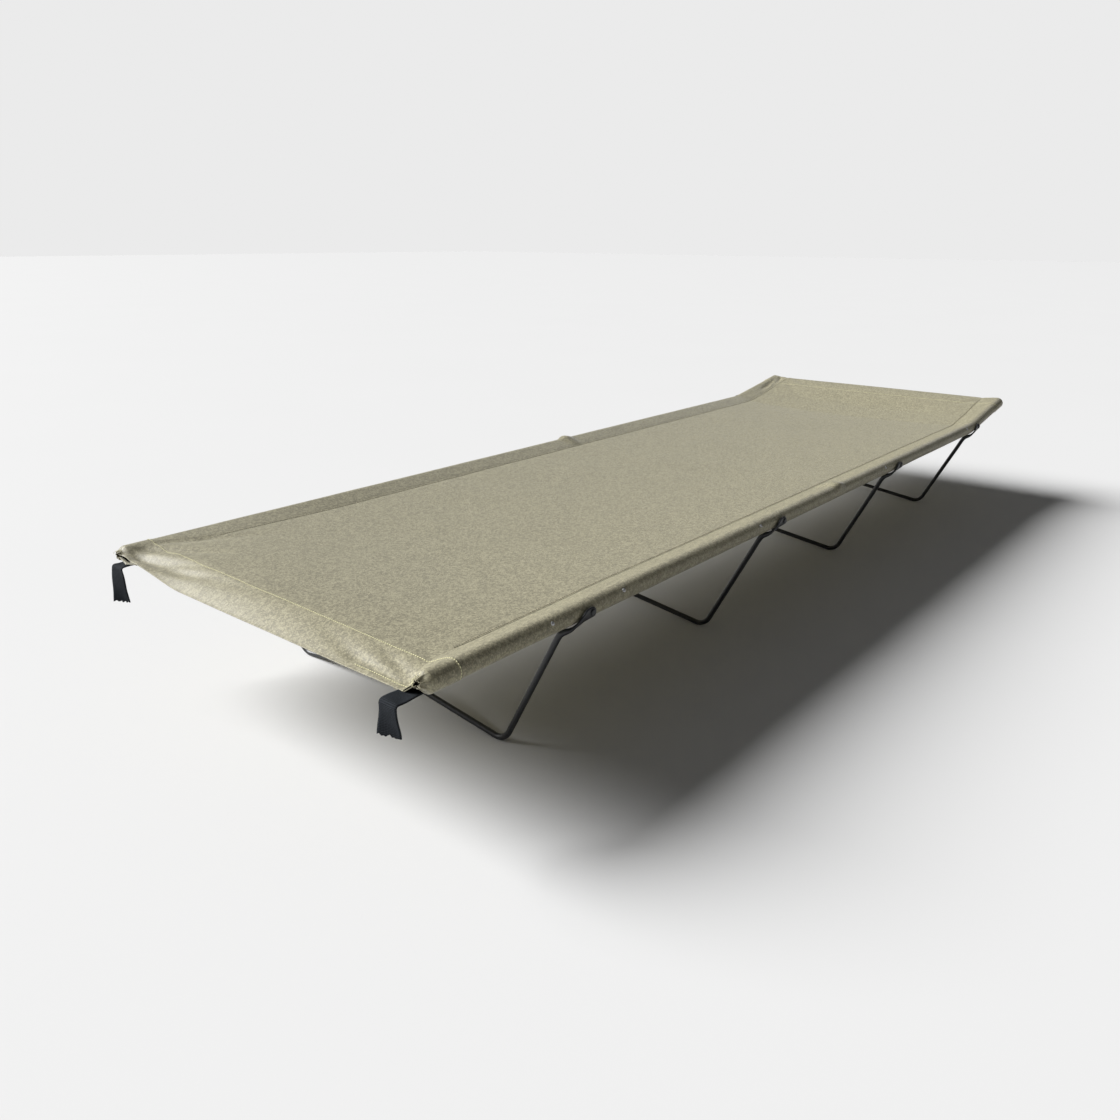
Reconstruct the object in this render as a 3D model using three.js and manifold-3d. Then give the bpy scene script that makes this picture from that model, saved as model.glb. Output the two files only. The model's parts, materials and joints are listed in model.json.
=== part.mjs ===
// A low folding camp cot: two side rails that fold in half over a hidden centre hinge, four W-shaped
// rod legs that swing flat under the bed, and a cloth bed sewn into a sleeve round each rail.
// Millimetres, +Z up. +X runs towards the raised head end, and the sleeper's left is +Y.
import * as THREE from "three";
import { mergeVertices } from "three/addons/utils/BufferGeometryUtils.js";
import Module from "manifold-3d";

const wasm = await Module();
wasm.setup();

// ---------------------------------------------------------------- driving dimensions
const FIT = 0.3; // gap kept between pieces that touch
const DRILL_PAST = 5; // how far a hole's cutter runs past the wall that it cuts
const PIN_SIDES = 12; // sides of a plain hole or pin
const SMALL_PIN_SIDES = 8;

// Side rails
const RAIL_SPACING = 597; // centre to centre
const RAIL_HEIGHT = 193; // tube centre above the floor
const RAIL_END = 945; // fold line to either tube end, along the rail
const TUBE_RADIUS = 11;
const TUBE_WALL = 1.2;
const HEAD_BEND_AT = 732; // fold line to the corner of the head bend
const HEAD_BEND_ANGLE = THREE.MathUtils.degToRad(8.7);
const HEAD_BEND_RADIUS = 120;
const HEAD_BEND_STEPS = 3;
const TUBE_CURVE_SEGMENTS = 9;

// End caps
const CAP_FLANGE = 4.7;
const CAP_SPIGOT = 12;
const CAP_SPIGOT_WALL = 1.9;
const CAP_EDGE = 1.1; // rounding of the flange's rim
const CAP_SIDES = 14;

// Cloth bed
const CLOTH = 0.9;
const SEAM_INSET = 36; // rail centre to the sleeve's seam
const SEAM_RISE = 2; // seam above the rail centre
const BED_SAG = 8; // middle of the bed below the seams
const HEM_PAST_CAP = 3.3; // the foot hem runs this far over the caps
const HEAD_HEM_SHORT = 1; // the head hem stops this far before the tube ends
const CLOTH_FOLD_GAP = 9; // each half stops this far from the fold line
const CHANNEL_SHORT_OF_SEAM = 3.6; // the sleeve's channel closes this far outside the seam
const SLEEVE_STEPS = 12;
const BED_STEPS = 8;

// Legs: bent rod with its two ends pressed flat and riveted to the outer faces of the rails
const ROD_RADIUS = 4;
const FOOT_BEND_RADIUS = 24;
const PEAK_BEND_RADIUS = 60;
const STEEP_ARM = THREE.MathUtils.degToRad(27.5); // from upright
const SHALLOW_ARM = THREE.MathUtils.degToRad(8); // from level
const PIVOT_OFFSET = 40; // knee to pivot, along the rail
const BLADE_HALF_WIDTH = 6.5;
const BLADE_HALF_THICKNESS = 1.6;
const PRESS_START = 0; // where the rod starts to flatten, from the knee along the rail
const PRESS_END = 14;
const WIDEN_START = 18; // where the flattened rod spreads into the blade
const WIDEN_END = 31;
const TURN_END = 8; // where the flat has turned to face the sleeve
const ROD_SIDES = 8;
const ARM_LEAD = 30; // stretch of the steep arm that the knee's curve takes in
const CRANK_STEPS = 14;
// The crank hugs the sleeve: distance along the rail from the knee as a share of the pivot's, angle
// below level round the rail, and how much further out than the blade it runs, as a share of what
// the rod loses when it is pressed flat
const CRANK = [
  { share: 0.79, below: 2, out: 0.04 },
  { share: 0.6, below: 12, out: 0.21 },
  { share: 0.4, below: 30, out: 0.4 },
  { share: 0.19, below: 55, out: 0.7 },
  { share: 0.04, below: 84, out: 1.1 },
];
const KNEE_ADVANCE = 1; // the knee's curve passes this far ahead of the arm's plane
const KNEE_ARM_SHARE = 0.2; // share of the arm's lead that the knee's curve has passed there
const BLADE_TIP_SHARES = [0.25, 0.65, 0.9]; // widths of the blade's round tip, of its full width
const LEGS = [
  { name: "leg_1", half: "foot", at: -741, lean: 0 },
  { name: "leg_2", half: "foot", at: -258, lean: 0 },
  { name: "leg_3", half: "head", at: 230, lean: THREE.MathUtils.degToRad(7) },
  { name: "leg_4", half: "head", at: 714, lean: THREE.MathUtils.degToRad(8) },
];

// Leg pivots
const PIVOT_RADIUS = 2.5;
const PIVOT_HEAD_RADIUS = 4.75;
const PIVOT_HEAD = 1.8;
const PIVOT_TAIL_RADIUS = 4;
const PIVOT_TAIL = 1.5;
const PIVOT_TAIL_TAPER = 0.8;
const PIVOT_SHOULDER = 0.85; // radius of the head's shoulder, of the head's own
const PIVOT_SHOULDER_RISE = 0.6; // its place up the head
const PIVOT_CROWN = 0.45; // radius of the flat on top of the head, of the head's own
const PIVOT_SIDES = 9;
const SPACER_RADIUS = 5.2;
const SPACER = 1.4;
const EYELET_CLEARANCE = 1; // between the sleeve and each spacer

// Small rivets that pin the sleeve to the tube
const TACK_RADIUS = 1.5;
const TACK_HEAD_RADIUS = 2.6;
const TACK_HEAD = 1.1;
const TACK_HEAD_TAPER = 0.7;
const TACK_DEPTH = 4.5;
const TACK_ANGLE = THREE.MathUtils.degToRad(30); // above level, round the rail
const TACK_BEHIND_LEG = 27;
const EXTRA_TACK_AT = -633;

// Centre hinge
const TUBE_SETBACK = 25; // tube end to the fold line
const PLUG_LENGTH = 37; // inside the tube
const PLUG_SIDES = 20;
const AXIS_OVER_CLOTH = 0.3; // hinge axis above the crest of the sleeve
const EAR_RADIUS = 3.2;
const HINGE_GAP = 0.4; // between the two plugs, and between the fork's ears and the tongue
const KNUCKLE_GAP = 0.5; // round an ear, in the plug that faces it
const EAR = 2.5; // thickness of each fork ear
const TONGUE = 3.5;
const HINGE_PIN_RADIUS = 1.5;
const HINGE_PIN_HEAD_RADIUS = 2.5;
const HINGE_PIN_HEAD = 0.9;
const HINGE_PIN_TAPER = 0.75;
const NECK_REACH = 12; // how far an ear's neck runs back over its plug
const NECK_RISE = 5.4; // where the neck's top meets the plug, above the rail's centre
const PLUG_RIVET_AT = 44;
const PLUG_RIVET_RADIUS = 2;
const PLUG_RIVET_HEAD_RADIUS = 3.6;
const PLUG_RIVET_HEAD = 1.2;
const PLUG_RIVET_PAST_CENTRE = 4;
const PLUG_RIVET_TAPER = 0.7;

// Webbing ties at the foot end: inset is from the rail centre to the strap's centre, and reach is
// how far the strap stands out beyond the hem before it hangs
const STRAP_WIDTH = 25;
const STRAP = 1.6;
const STRAP_ROOT = 28; // sewn under the hem
const STRAP_BEND = 5;
const STRAP_CURVE_SEGMENTS = 6;
const STRAPS = [
  { name: "strap_right", side: -1, inset: 15.5, reach: 32, drop: 37 },
  { name: "strap_left", side: 1, inset: 0, reach: 10, drop: 52 },
];

// ---------------------------------------------------------------- sizes that follow
const RAIL_Y = RAIL_SPACING / 2;
const BORE_RADIUS = TUBE_RADIUS - TUBE_WALL;
const SLEEVE_INNER = TUBE_RADIUS + FIT;
const SLEEVE_OUTER = SLEEVE_INNER + CLOTH;
const CLOTH_FOOT_END = RAIL_END + CAP_FLANGE + HEM_PAST_CAP; // fold line to the foot hem
const CLOTH_HEAD_END = RAIL_END - HEAD_HEM_SHORT; // fold line to the head hem, along the rail
const BLADE_OUT = TUBE_RADIUS + FIT + SPACER + FIT + BLADE_HALF_THICKNESS; // rail centre to blade middle
const KNEE_DROP = SLEEVE_OUTER + FIT + ROD_RADIUS;
const AXIS_RISE = SLEEVE_OUTER + AXIS_OVER_CLOTH;
const IN_BORE = TUBE_RADIUS / 2; // where a hole through one wall of the tube starts
const BEND_START = HEAD_BEND_AT - HEAD_BEND_RADIUS * Math.tan(HEAD_BEND_ANGLE / 2);
const BEND_LENGTH = HEAD_BEND_RADIUS * HEAD_BEND_ANGLE;
const SIDES = [
  { name: "left", sign: 1 },
  { name: "right", sign: -1 },
];
const ACROSS_BED = new THREE.Vector3(0, 1, 0);
const TO_FOOT_END = new THREE.Vector3(-1, 0, 0);

// ---------------------------------------------------------------- materials
const powderCoat = new THREE.MeshStandardMaterial({ color: 0x15161a, roughness: 0.45, metalness: 0.3 });
const bareSteel = new THREE.MeshStandardMaterial({ color: 0xa9abad, roughness: 0.35, metalness: 0.9 });
const castZinc = new THREE.MeshStandardMaterial({ color: 0x6f7275, roughness: 0.55, metalness: 0.7 });
const blackPlastic = new THREE.MeshStandardMaterial({ color: 0x111112, roughness: 0.6, metalness: 0 });
const oliveCloth = new THREE.MeshStandardMaterial({ color: 0x8d8a67, roughness: 0.75, metalness: 0 });
const blackWebbing = new THREE.MeshStandardMaterial({ color: 0x17191d, roughness: 0.85, metalness: 0 });

// ---------------------------------------------------------------- solids
function toManifold(geometry) {
  const bare = geometry.clone();
  bare.deleteAttribute("normal");
  bare.deleteAttribute("uv");
  const merged = mergeVertices(bare, 1e-4);
  return new wasm.Manifold(
    new wasm.Mesh({
      numProp: 3,
      vertProperties: merged.getAttribute("position").array,
      triVerts: Uint32Array.from(merged.index.array),
    }),
  );
}

function toGeometry(manifold) {
  const { vertProperties, triVerts } = manifold.getMesh();
  const geometry = new THREE.BufferGeometry();
  geometry.setAttribute("position", new THREE.BufferAttribute(vertProperties, 3));
  geometry.setIndex(new THREE.BufferAttribute(triVerts, 1));
  return geometry;
}

function cut(geometry, tools) {
  const left = tools.reduce((body, tool) => body.subtract(toManifold(tool)), toManifold(geometry));
  return toGeometry(left);
}

function join(geometries) {
  return toGeometry(geometries.map(toManifold).reduce((body, piece) => body.add(piece)));
}

// A cylinder across the bed, from one y to another.
function crossPin(radius, fromY, toY, sides = PIN_SIDES) {
  const length = Math.abs(toY - fromY);
  return new THREE.CylinderGeometry(radius, radius, length, sides).translate(0, (fromY + toY) / 2, 0);
}

// A solid of revolution about the y axis from [radius, y] pairs, lowest y first.
function turned(profile, sides) {
  return new THREE.LatheGeometry(profile.map(([radius, y]) => new THREE.Vector2(radius, y)), sides);
}

// ---------------------------------------------------------------- the line of the rails
function railSlope(along) {
  return THREE.MathUtils.clamp((along - BEND_START) / HEAD_BEND_RADIUS, 0, HEAD_BEND_ANGLE);
}

// The point at a distance along the rail from the fold line, `rise` above the tube's centre line.
function railPoint(along, y = 0, rise = 0) {
  const slope = railSlope(along);
  const level = Math.min(along, BEND_START);
  const beyond = Math.max(along - BEND_START - BEND_LENGTH, 0);
  return new THREE.Vector3(
    level + (HEAD_BEND_RADIUS - rise) * Math.sin(slope) + beyond * Math.cos(slope),
    y,
    RAIL_HEIGHT + rise + (HEAD_BEND_RADIUS - rise) * (1 - Math.cos(slope)) + beyond * Math.sin(slope),
  );
}

// A path with one section at each of its points.
class StationPath extends THREE.Curve {
  constructor(points) {
    super();
    this.points = points;
  }

  getPoint(t) {
    return this.points[Math.round(t * (this.points.length - 1))].clone();
  }

  getPointAt(t) {
    return this.getPoint(t);
  }

  getTangentAt(t) {
    const i = Math.round(t * (this.points.length - 1));
    const arriving = this.points[Math.max(i, 1)].clone().sub(this.points[Math.max(i, 1) - 1]);
    const last = Math.min(i, this.points.length - 2);
    const leaving = this.points[last + 1].clone().sub(this.points[last]);
    return arriving.normalize().add(leaving.normalize()).normalize();
  }
}

// A section given as a THREE.Shape in (-rise, y), swept along the rail.
function alongRail(shape, from, to) {
  const stepLength = BEND_LENGTH / HEAD_BEND_STEPS;
  const bend = Array.from({ length: HEAD_BEND_STEPS + 1 }, (_, i) => BEND_START + stepLength * i);
  const stations = [from, ...bend.filter((along) => along > from && along < to), to];
  const path = new StationPath(stations.map((along) => railPoint(along)));
  return new THREE.ExtrudeGeometry(shape, {
    steps: stations.length - 1,
    extrudePath: path,
    curveSegments: TUBE_CURVE_SEGMENTS,
  });
}

// A mesh made at the origin, moved to a place on a rail and tilted with it.
function onRail(mesh, along, y, rise = 0) {
  mesh.position.copy(railPoint(along, y, rise));
  mesh.rotation.y = -railSlope(along);
  return mesh;
}

function named(name, geometry, material) {
  const mesh = new THREE.Mesh(geometry, material);
  mesh.name = name;
  return mesh;
}

function pivotAlong(leg) {
  return leg.at + PIVOT_OFFSET;
}

function tackPlaces(half) {
  const places = LEGS.filter((leg) => leg.half === half).map((leg) => leg.at - TACK_BEHIND_LEG);
  return half === "foot" ? [...places, EXTRA_TACK_AT].sort((a, b) => a - b) : places;
}

// ---------------------------------------------------------------- rails and end caps
// A radial pin at a tack's place on one rail, from one radius to another.
function tackPin(radius, fromRadius, toRadius, along, sign) {
  return crossPin(radius, sign * fromRadius, sign * toRadius, SMALL_PIN_SIDES)
    .rotateX(sign * TACK_ANGLE)
    .applyMatrix4(new THREE.Matrix4().makeTranslation(railPoint(along, sign * RAIL_Y)));
}

function railTube(half, side) {
  const ring = new THREE.Shape().absarc(0, 0, TUBE_RADIUS, 0, 2 * Math.PI);
  ring.holes.push(new THREE.Path().absarc(0, 0, BORE_RADIUS, 0, 2 * Math.PI));
  const ends = half === "foot" ? [-RAIL_END, -TUBE_SETBACK] : [TUBE_SETBACK, RAIL_END];
  const tube = alongRail(ring, ...ends).translate(0, side.sign * RAIL_Y, 0);
  const drillOut = TUBE_RADIUS + DRILL_PAST;
  const pivotDrills = LEGS.filter((leg) => leg.half === half).map((leg) =>
    crossPin(PIVOT_RADIUS + FIT, -drillOut, drillOut).applyMatrix4(
      new THREE.Matrix4().makeTranslation(railPoint(pivotAlong(leg), side.sign * RAIL_Y)),
    ),
  );
  const tackDrills = tackPlaces(half).map((along) =>
    tackPin(TACK_RADIUS + FIT, IN_BORE, drillOut, along, side.sign),
  );
  const plugRivetAt = half === "foot" ? -PLUG_RIVET_AT : PLUG_RIVET_AT;
  const plugDrill = crossPin(PLUG_RIVET_RADIUS + FIT, 0, -side.sign * drillOut).translate(
    plugRivetAt,
    side.sign * RAIL_Y,
    RAIL_HEIGHT,
  );
  const drilled = cut(tube, [...pivotDrills, ...tackDrills, plugDrill]);
  return named(`rail_${half}_${side.name}`, drilled, powderCoat);
}

function endCap(half, side) {
  const spigot = BORE_RADIUS - FIT;
  const cap = turned(
    [
      [0, FIT],
      [spigot - CAP_SPIGOT_WALL, FIT],
      [spigot - CAP_SPIGOT_WALL, -CAP_SPIGOT],
      [spigot, -CAP_SPIGOT],
      [spigot, FIT],
      [TUBE_RADIUS, FIT],
      [TUBE_RADIUS, CAP_FLANGE - CAP_EDGE],
      [TUBE_RADIUS - CAP_EDGE, CAP_FLANGE],
      [0, CAP_FLANGE],
    ],
    CAP_SIDES,
  );
  const outward = half === "foot" ? -1 : 1;
  cap.rotateZ((-outward * Math.PI) / 2);
  const mesh = named(`end_cap_${half}_${side.name}`, cap, blackPlastic);
  return onRail(mesh, outward * RAIL_END, side.sign * RAIL_Y);
}

// ---------------------------------------------------------------- cloth bed
// The round stretch of a sleeve of one radius, between its two tangents from a point of the seam.
function sleeveArc(radius, seamInset, seamRise, steps) {
  const distance = Math.hypot(seamInset, seamRise);
  const towardsSeam = Math.atan2(seamRise, -seamInset);
  const halfOpen = Math.acos(radius / distance);
  const start = towardsSeam + halfOpen - 2 * Math.PI;
  const sweep = towardsSeam - halfOpen - start;
  return Array.from({ length: steps + 1 }, (_, i) => {
    const angle = start + (sweep * i) / steps;
    return [RAIL_Y + radius * Math.cos(angle), radius * Math.sin(angle)];
  });
}

function mirrored(points) {
  return points.map(([y, rise]) => [-y, rise]).reverse();
}

// The bed's middle line between the seams, from left to right.
function bedLine(offset, steps) {
  const seamY = RAIL_Y - SEAM_INSET;
  return Array.from({ length: steps + 1 }, (_, i) => {
    const y = seamY * (1 - (2 * i) / steps);
    return [y, SEAM_RISE - BED_SAG * (1 - (y / seamY) ** 2) + offset];
  });
}

function sectionShape(points) {
  return new THREE.Shape(points.map(([y, rise]) => new THREE.Vector2(-rise, y)));
}

function clothSection() {
  const leftSleeve = sleeveArc(SLEEVE_OUTER, SEAM_INSET, SEAM_RISE, SLEEVE_STEPS);
  const top = bedLine(CLOTH / 2, BED_STEPS);
  const bottom = bedLine(-CLOTH / 2, BED_STEPS).reverse();
  const shape = sectionShape([...leftSleeve, ...top, ...mirrored(leftSleeve), ...bottom]);
  const apexInset = SEAM_INSET - CHANNEL_SHORT_OF_SEAM;
  const channelArc = sleeveArc(SLEEVE_INNER, apexInset, SEAM_RISE, SLEEVE_STEPS);
  const leftChannel = [...channelArc, [RAIL_Y - apexInset, SEAM_RISE]];
  shape.holes.push(sectionShape(leftChannel), sectionShape(mirrored(leftChannel)));
  return shape;
}

function clothBed(half) {
  const ends = half === "foot" ? [-CLOTH_FOOT_END, -CLOTH_FOLD_GAP] : [CLOTH_FOLD_GAP, CLOTH_HEAD_END];
  const cloth = alongRail(clothSection(), ...ends);
  const beyond = SLEEVE_OUTER + DRILL_PAST;
  const holes = SIDES.flatMap((side) => [
    ...LEGS.filter((leg) => leg.half === half).map((leg) =>
      crossPin(SPACER_RADIUS + EYELET_CLEARANCE, side.sign * IN_BORE, side.sign * beyond).applyMatrix4(
        new THREE.Matrix4().makeTranslation(railPoint(pivotAlong(leg), side.sign * RAIL_Y)),
      ),
    ),
    ...tackPlaces(half).map((along) =>
      tackPin(TACK_RADIUS + FIT, IN_BORE, beyond, along, side.sign),
    ),
  ]);
  return named(`cloth_${half}_half`, cut(cloth, holes), oliveCloth);
}

// ---------------------------------------------------------------- legs
// One rounded corner of a path in the plane of (y, z), as points along its arc.
function corner(vertex, arriving, leaving, radius, steps) {
  const turn = Math.acos(arriving.dot(leaving));
  const inward = leaving.clone().sub(arriving).normalize();
  const centre = vertex.clone().addScaledVector(inward, radius / Math.cos(turn / 2));
  const start = vertex.clone().addScaledVector(arriving, -radius * Math.tan(turn / 2)).sub(centre);
  const sense = Math.sign(arriving.cross(leaving));
  return Array.from({ length: steps + 1 }, (_, i) =>
    start.clone().rotateAround(new THREE.Vector2(), (sense * turn * i) / steps).add(centre),
  );
}

// The foot bend and half of the middle peak, as points of the plane that the leg stands in.
function legPlaneLine(kneeZ) {
  const down = new THREE.Vector2(-Math.sin(STEEP_ARM), -Math.cos(STEEP_ARM));
  const inward = new THREE.Vector2(-Math.cos(SHALLOW_ARM), Math.sin(SHALLOW_ARM));
  const pastPeak = new THREE.Vector2(inward.x, -inward.y);
  const bisector = inward.clone().sub(down).normalize();
  const halfTurn = Math.acos(down.dot(inward)) / 2;
  const footZ = ROD_RADIUS + FOOT_BEND_RADIUS - (FOOT_BEND_RADIUS * bisector.y) / Math.cos(halfTurn);
  const foot = new THREE.Vector2(RAIL_Y - (kneeZ - footZ) * Math.tan(STEEP_ARM), footZ);
  const peak = new THREE.Vector2(0, footZ + foot.x * Math.tan(SHALLOW_ARM));
  const peakSteps = 4;
  return [
    ...corner(foot, down, inward, FOOT_BEND_RADIUS, 5),
    ...corner(peak, inward, pastPeak, PEAK_BEND_RADIUS, peakSteps).slice(0, peakSteps / 2 + 1),
  ];
}

// The crank leaves the steep arm under the rail and climbs round the sleeve to the pivot on its
// outer face. Each point is a distance along the rail from the knee, out from the rail and up.
function crankLine(leg) {
  const armDrop = ARM_LEAD * Math.cos(STEEP_ARM);
  const armIn = ARM_LEAD * Math.sin(STEEP_ARM);
  const curve = new THREE.CatmullRomCurve3(
    [
      new THREE.Vector3(PIVOT_OFFSET, BLADE_OUT, 0),
      ...CRANK.map(({ share, below, out }) => {
        const angle = THREE.MathUtils.degToRad(below);
        const radius = BLADE_OUT + out * (ROD_RADIUS - BLADE_HALF_THICKNESS);
        return new THREE.Vector3(PIVOT_OFFSET * share, radius * Math.cos(angle), -radius * Math.sin(angle));
      }),
      new THREE.Vector3(KNEE_ADVANCE, -armIn * KNEE_ARM_SHARE, -KNEE_DROP - armDrop * KNEE_ARM_SHARE),
      new THREE.Vector3(armDrop * Math.tan(leg.lean), -armIn, -KNEE_DROP - armDrop),
    ],
    false,
    "centripetal",
  );
  return curve.getPoints(CRANK_STEPS);
}

// The left half of a leg from the round tip of its pressed end to the middle of the bed, as stations
// that hold a centre, the direction through the flat, and the half width and half thickness.
function halfLegStations(leg) {
  const kneeZ = RAIL_HEIGHT - KNEE_DROP;
  const tip = BLADE_TIP_SHARES.map((share) => ({
    centre: railPoint(pivotAlong(leg) + BLADE_HALF_WIDTH * Math.sqrt(1 - share ** 2), RAIL_Y + BLADE_OUT),
    flat: ACROSS_BED,
    halfWidth: BLADE_HALF_WIDTH * share,
    halfThickness: BLADE_HALF_THICKNESS,
  }));
  const crank = crankLine(leg).map(({ x: along, y: out, z: rise }) => {
    const pressed = THREE.MathUtils.smoothstep(along, PRESS_START, PRESS_END);
    const widened = THREE.MathUtils.smoothstep(along, WIDEN_START, WIDEN_END);
    const offSleeve = new THREE.Vector3(0, out, rise).normalize();
    return {
      centre: railPoint(leg.at + along, RAIL_Y + out, rise),
      flat: TO_FOOT_END.clone().lerp(offSleeve, THREE.MathUtils.smoothstep(along, 0, TURN_END)),
      halfWidth: THREE.MathUtils.lerp(ROD_RADIUS, BLADE_HALF_WIDTH, widened),
      halfThickness: THREE.MathUtils.lerp(ROD_RADIUS, BLADE_HALF_THICKNESS, pressed),
    };
  });
  const plane = legPlaneLine(kneeZ).map(({ x: y, y: z }) => ({
    centre: new THREE.Vector3(leg.at + (kneeZ - z) * Math.tan(leg.lean), y, z),
    flat: TO_FOOT_END,
    halfWidth: ROD_RADIUS,
    halfThickness: ROD_RADIUS,
  }));
  return [...tip, ...crank, ...plane];
}

// A bar through the stations, one ring of a cylinder at each.
function sweptBar(stations, sides) {
  const steps = stations.length - 1;
  const bar = new THREE.CylinderGeometry(1, 1, 1, sides, steps);
  const path = new StationPath(stations.map((station) => station.centre));
  const position = bar.getAttribute("position");
  const vertex = new THREE.Vector3();
  for (let i = 0; i < position.count; i += 1) {
    vertex.fromBufferAttribute(position, i);
    const index = Math.round((0.5 - vertex.y) * steps);
    const { centre, flat, halfWidth, halfThickness } = stations[index];
    const tangent = path.getTangentAt(index / steps);
    const thin = flat.clone().addScaledVector(tangent, -flat.dot(tangent)).normalize();
    const wide = new THREE.Vector3().crossVectors(thin, tangent);
    const place = centre.clone();
    place.addScaledVector(wide, vertex.x * halfWidth).addScaledVector(thin, vertex.z * halfThickness);
    position.setXYZ(i, place.x, place.y, place.z);
  }
  return bar;
}

function wLeg(leg) {
  const left = halfLegStations(leg);
  const right = left
    .slice(0, -1)
    .map((station) => ({
      ...station,
      centre: station.centre.clone().multiply(new THREE.Vector3(1, -1, 1)),
      flat: station.flat.clone().multiply(new THREE.Vector3(1, -1, 1)),
    }))
    .reverse();
  const bar = sweptBar([...left, ...right], ROD_SIDES);
  const drill = crossPin(PIVOT_RADIUS + FIT, RAIL_Y, RAIL_Y + BLADE_OUT + ROD_RADIUS);
  const drills = SIDES.map((side) =>
    drill
      .clone()
      .rotateZ(side.sign > 0 ? 0 : Math.PI)
      .applyMatrix4(new THREE.Matrix4().makeTranslation(railPoint(pivotAlong(leg)))),
  );
  return named(leg.name, cut(bar, drills), powderCoat);
}

// ---------------------------------------------------------------- leg pivots and sleeve tacks
function pivotSpacer(leg, side) {
  const ring = new THREE.Shape().absarc(0, 0, SPACER_RADIUS, 0, 2 * Math.PI);
  ring.holes.push(new THREE.Path().absarc(0, 0, PIVOT_RADIUS + FIT, 0, 2 * Math.PI));
  const spacer = new THREE.ExtrudeGeometry(ring, { depth: SPACER, bevelEnabled: false, curveSegments: 6 });
  spacer.rotateX(-Math.PI / 2).translate(0, TUBE_RADIUS + FIT, 0);
  const mesh = named(`${leg.name}_spacer_${side.name}`, spacer, bareSteel);
  mesh.rotation.z = side.sign > 0 ? 0 : Math.PI;
  mesh.position.copy(railPoint(pivotAlong(leg), side.sign * RAIL_Y));
  return mesh;
}

function pivotRivet(leg, side) {
  const headFrom = BLADE_OUT + BLADE_HALF_THICKNESS + FIT;
  const tailFrom = -TUBE_RADIUS - FIT;
  const rivet = turned(
    [
      [0, tailFrom - PIVOT_TAIL],
      [PIVOT_TAIL_RADIUS * PIVOT_TAIL_TAPER, tailFrom - PIVOT_TAIL],
      [PIVOT_TAIL_RADIUS, tailFrom],
      [PIVOT_RADIUS, tailFrom],
      [PIVOT_RADIUS, headFrom],
      [PIVOT_HEAD_RADIUS, headFrom],
      [PIVOT_HEAD_RADIUS * PIVOT_SHOULDER, headFrom + PIVOT_HEAD * PIVOT_SHOULDER_RISE],
      [PIVOT_HEAD_RADIUS * PIVOT_CROWN, headFrom + PIVOT_HEAD],
      [0, headFrom + PIVOT_HEAD],
    ],
    PIVOT_SIDES,
  );
  const mesh = named(`${leg.name}_rivet_${side.name}`, rivet, powderCoat);
  mesh.rotation.z = side.sign > 0 ? 0 : Math.PI;
  mesh.position.copy(railPoint(pivotAlong(leg), side.sign * RAIL_Y));
  return mesh;
}

function sleeveTack(half, side, along, index) {
  const headFrom = SLEEVE_OUTER + FIT;
  const tack = turned(
    [
      [0, headFrom - TACK_DEPTH],
      [TACK_RADIUS, headFrom - TACK_DEPTH],
      [TACK_RADIUS, headFrom],
      [TACK_HEAD_RADIUS, headFrom],
      [TACK_HEAD_RADIUS * TACK_HEAD_TAPER, headFrom + TACK_HEAD],
      [0, headFrom + TACK_HEAD],
    ],
    SMALL_PIN_SIDES,
  );
  tack.rotateX(TACK_ANGLE).rotateZ(side.sign > 0 ? 0 : Math.PI);
  const mesh = named(`sleeve_tack_${half}_${side.name}_${index + 1}`, tack, bareSteel);
  mesh.position.copy(railPoint(along, side.sign * RAIL_Y));
  return mesh;
}

// ---------------------------------------------------------------- centre hinge
// An ear and its neck, seen from the side: round the hinge axis, then back and down into the plug.
function earPlate(thickness, fromY) {
  const ear = new THREE.Shape();
  ear.moveTo(-NECK_REACH, 0);
  ear.lineTo(-EAR_RADIUS * Math.SQRT1_2, 0);
  ear.absarc(0, AXIS_RISE, EAR_RADIUS, -Math.PI / 2, (3 * Math.PI) / 4, false);
  ear.lineTo(-NECK_REACH, NECK_RISE);
  const plate = new THREE.ExtrudeGeometry(ear, { depth: thickness, bevelEnabled: false, curveSegments: 8 });
  return plate.rotateX(Math.PI / 2).translate(0, fromY + thickness, 0);
}

// The plug of the foot half; the head half's is the same turned round.
function hingePlug(plates) {
  const radius = BORE_RADIUS - FIT;
  const length = TUBE_SETBACK + PLUG_LENGTH - HINGE_GAP;
  const plug = new THREE.CylinderGeometry(radius, radius, length, PLUG_SIDES)
    .rotateZ(Math.PI / 2)
    .translate(-HINGE_GAP - length / 2, 0, 0);
  const knuckleRoom = crossPin(EAR_RADIUS + KNUCKLE_GAP, -radius, radius).translate(0, 0, AXIS_RISE);
  const rivetHole = crossPin(PLUG_RIVET_RADIUS + FIT, -TUBE_RADIUS, TUBE_RADIUS);
  rivetHole.translate(-PLUG_RIVET_AT, 0, 0);
  const pinHole = crossPin(HINGE_PIN_RADIUS + FIT, -TUBE_RADIUS, TUBE_RADIUS).translate(0, 0, AXIS_RISE);
  const body = cut(plug, [knuckleRoom, rivetHole]);
  return cut(join([body, ...plates]), [pinHole]);
}

function hingeFork(side) {
  const inner = TONGUE / 2 + HINGE_GAP;
  const block = hingePlug([earPlate(EAR, inner), earPlate(EAR, -inner - EAR)]);
  return onRail(named(`hinge_fork_${side.name}`, block, castZinc), 0, side.sign * RAIL_Y);
}

function hingeTongue(side) {
  const block = hingePlug([earPlate(TONGUE, -TONGUE / 2)]).rotateZ(Math.PI);
  return onRail(named(`hinge_tongue_${side.name}`, block, castZinc), 0, side.sign * RAIL_Y);
}

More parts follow.
